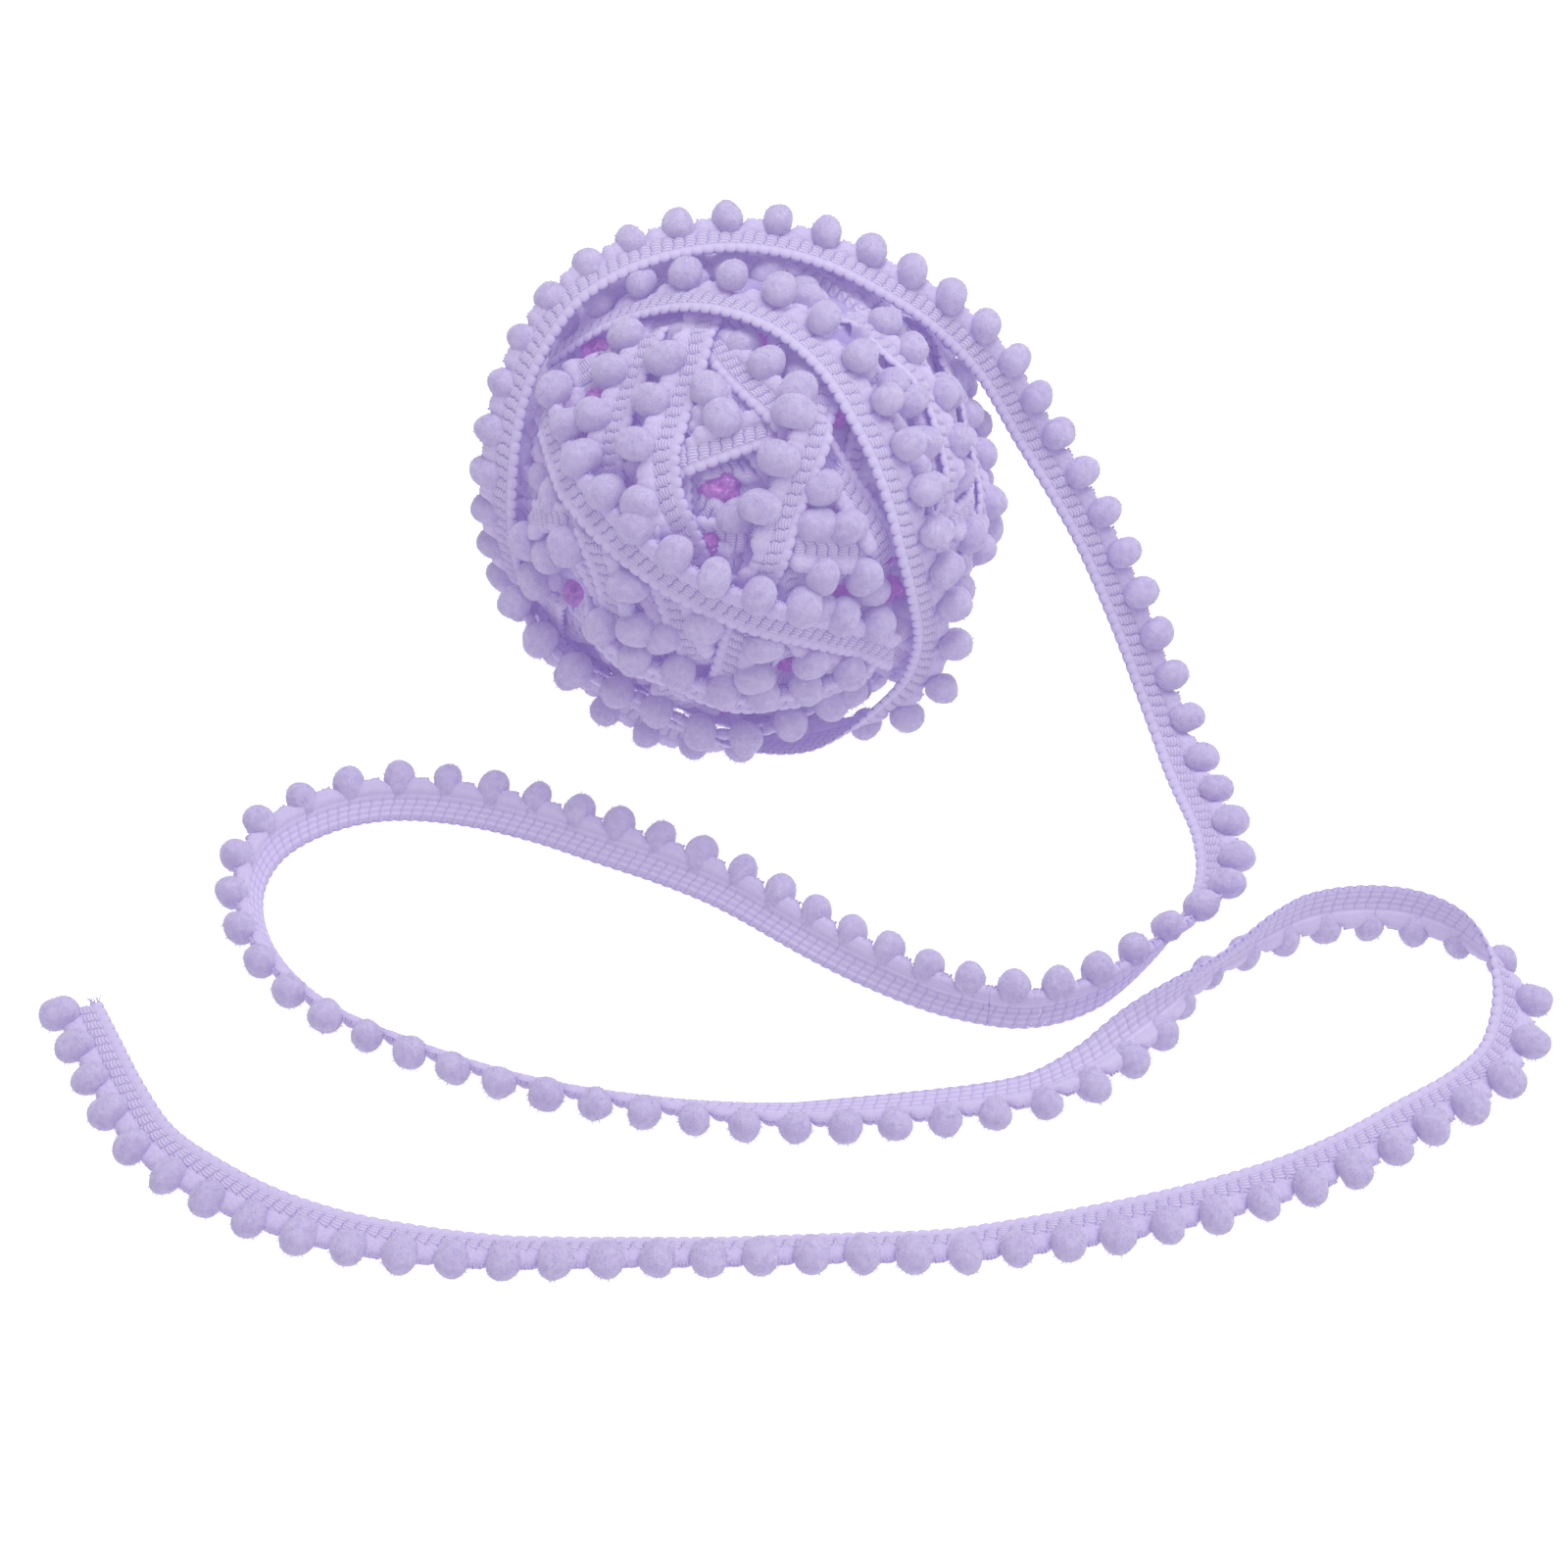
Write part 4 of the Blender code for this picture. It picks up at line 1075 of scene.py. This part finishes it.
def lint():
    """White lint caught on the tape where it lies on the floor."""
    middle, heading, towards, _ = LOOSE
    chance = np.random.default_rng(81)
    pile = Pile()
    for _ in range(22):
        k = int(chance.integers(*LINT_STRETCH))
        face = np.cross(heading[k], towards[k])
        spot = (middle[k] + towards[k] * chance.uniform(-0.5, 0.1) * TAPE_WIDTH
                + heading[k] * chance.uniform(0, 4.4) * MM - face * 0.62 * MM)
        way = unit(heading[k] * chance.normal() + towards[k] * chance.normal())
        bend = np.cross(face, way) * chance.uniform(-1, 1)
        length = chance.uniform(0.5, 1.8) * MM
        bent_yarn(pile, spot, way * length, bend * length, (-0.5, 0.5),
                  chance.uniform(0.05, 0.11) * MM)
    return pile.piece("lint", LINT)


# ---- the object ----
LAST_STATION = len(LOOSE[0]) - 1
SPLIT = 132  # station where the two pieces of the loose tape meet

upper_tape, upper_length = loose_tape("loose_tape", 0, SPLIT)
lower_tape, lower_length = loose_tape("laid_tape", SPLIT, LAST_STATION)
pompoms, fibres, knots = loose_pompoms()
cut = frayed_end()
specks = lint()
ball, lengths = build_ball()
shell = inner_shell()
film = film_core()

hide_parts("loose_end")
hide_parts("winding")
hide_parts("core")

# ---- floor, light and camera ----
WHITE = (1.0, 1.0, 1.0, 1.0)
FLOOR_HALF = 14.0
LIGHT_AIM = np.array([0.0, -0.03, 0.03])
floor_finish = Finish("white_floor", Roughness=0.9, Emission_Color=WHITE, Emission_Strength=0.85)
floor_finish.set("Base Color", floor_finish.colours(floor_finish.noise(0.4), (0.34, 0.34, 0.345),
                                                    (0.36, 0.36, 0.365)))
floor_mesh = bpy.data.meshes.new("floor")
corners = [(x * FLOOR_HALF, y * FLOOR_HALF, 0.0) for x, y in ((-1, -1), (1, -1), (1, 1), (-1, 1))]
floor_mesh.from_pydata(corners, [], [(0, 1, 2, 3)])
floor_mesh.materials.append(floor_finish.material)
placed("floor", floor_mesh)

world = bpy.data.worlds.new("studio")
bpy.context.scene.world = world
world.use_nodes = True
backdrop = world.node_tree.nodes["Background"].inputs
backdrop["Color"].default_value = WHITE
backdrop["Strength"].default_value = 0.55


def soft_light(name, place, power):
    light = bpy.data.lights.new(name, "AREA")
    light.size = 0.8
    light.energy = power
    lamp = placed(name, light)
    lamp.location = place
    aimed = LIGHT_AIM - np.array(place)
    yaw = math.atan2(aimed[1], aimed[0]) - math.pi / 2
    tip = math.atan2(math.hypot(aimed[0], aimed[1]), -aimed[2])
    lamp.rotation_euler = (tip, 0.0, yaw)


soft_light("key", (0.2, 0.12, 1.1), 9.0)
soft_light("fill", (0.9, -0.2, 0.6), 1.5)

camera_data = bpy.data.cameras.new("camera")
camera_data.sensor_width = 36.0
camera_data.lens = 81.0
camera = placed("camera", camera_data)
camera.location = (0.00824, -0.53695, 0.48526)
camera.rotation_euler = (math.radians(46), 0.0, 0.0)
bpy.context.scene.camera = camera
bpy.context.scene.view_settings.view_transform = "Standard"
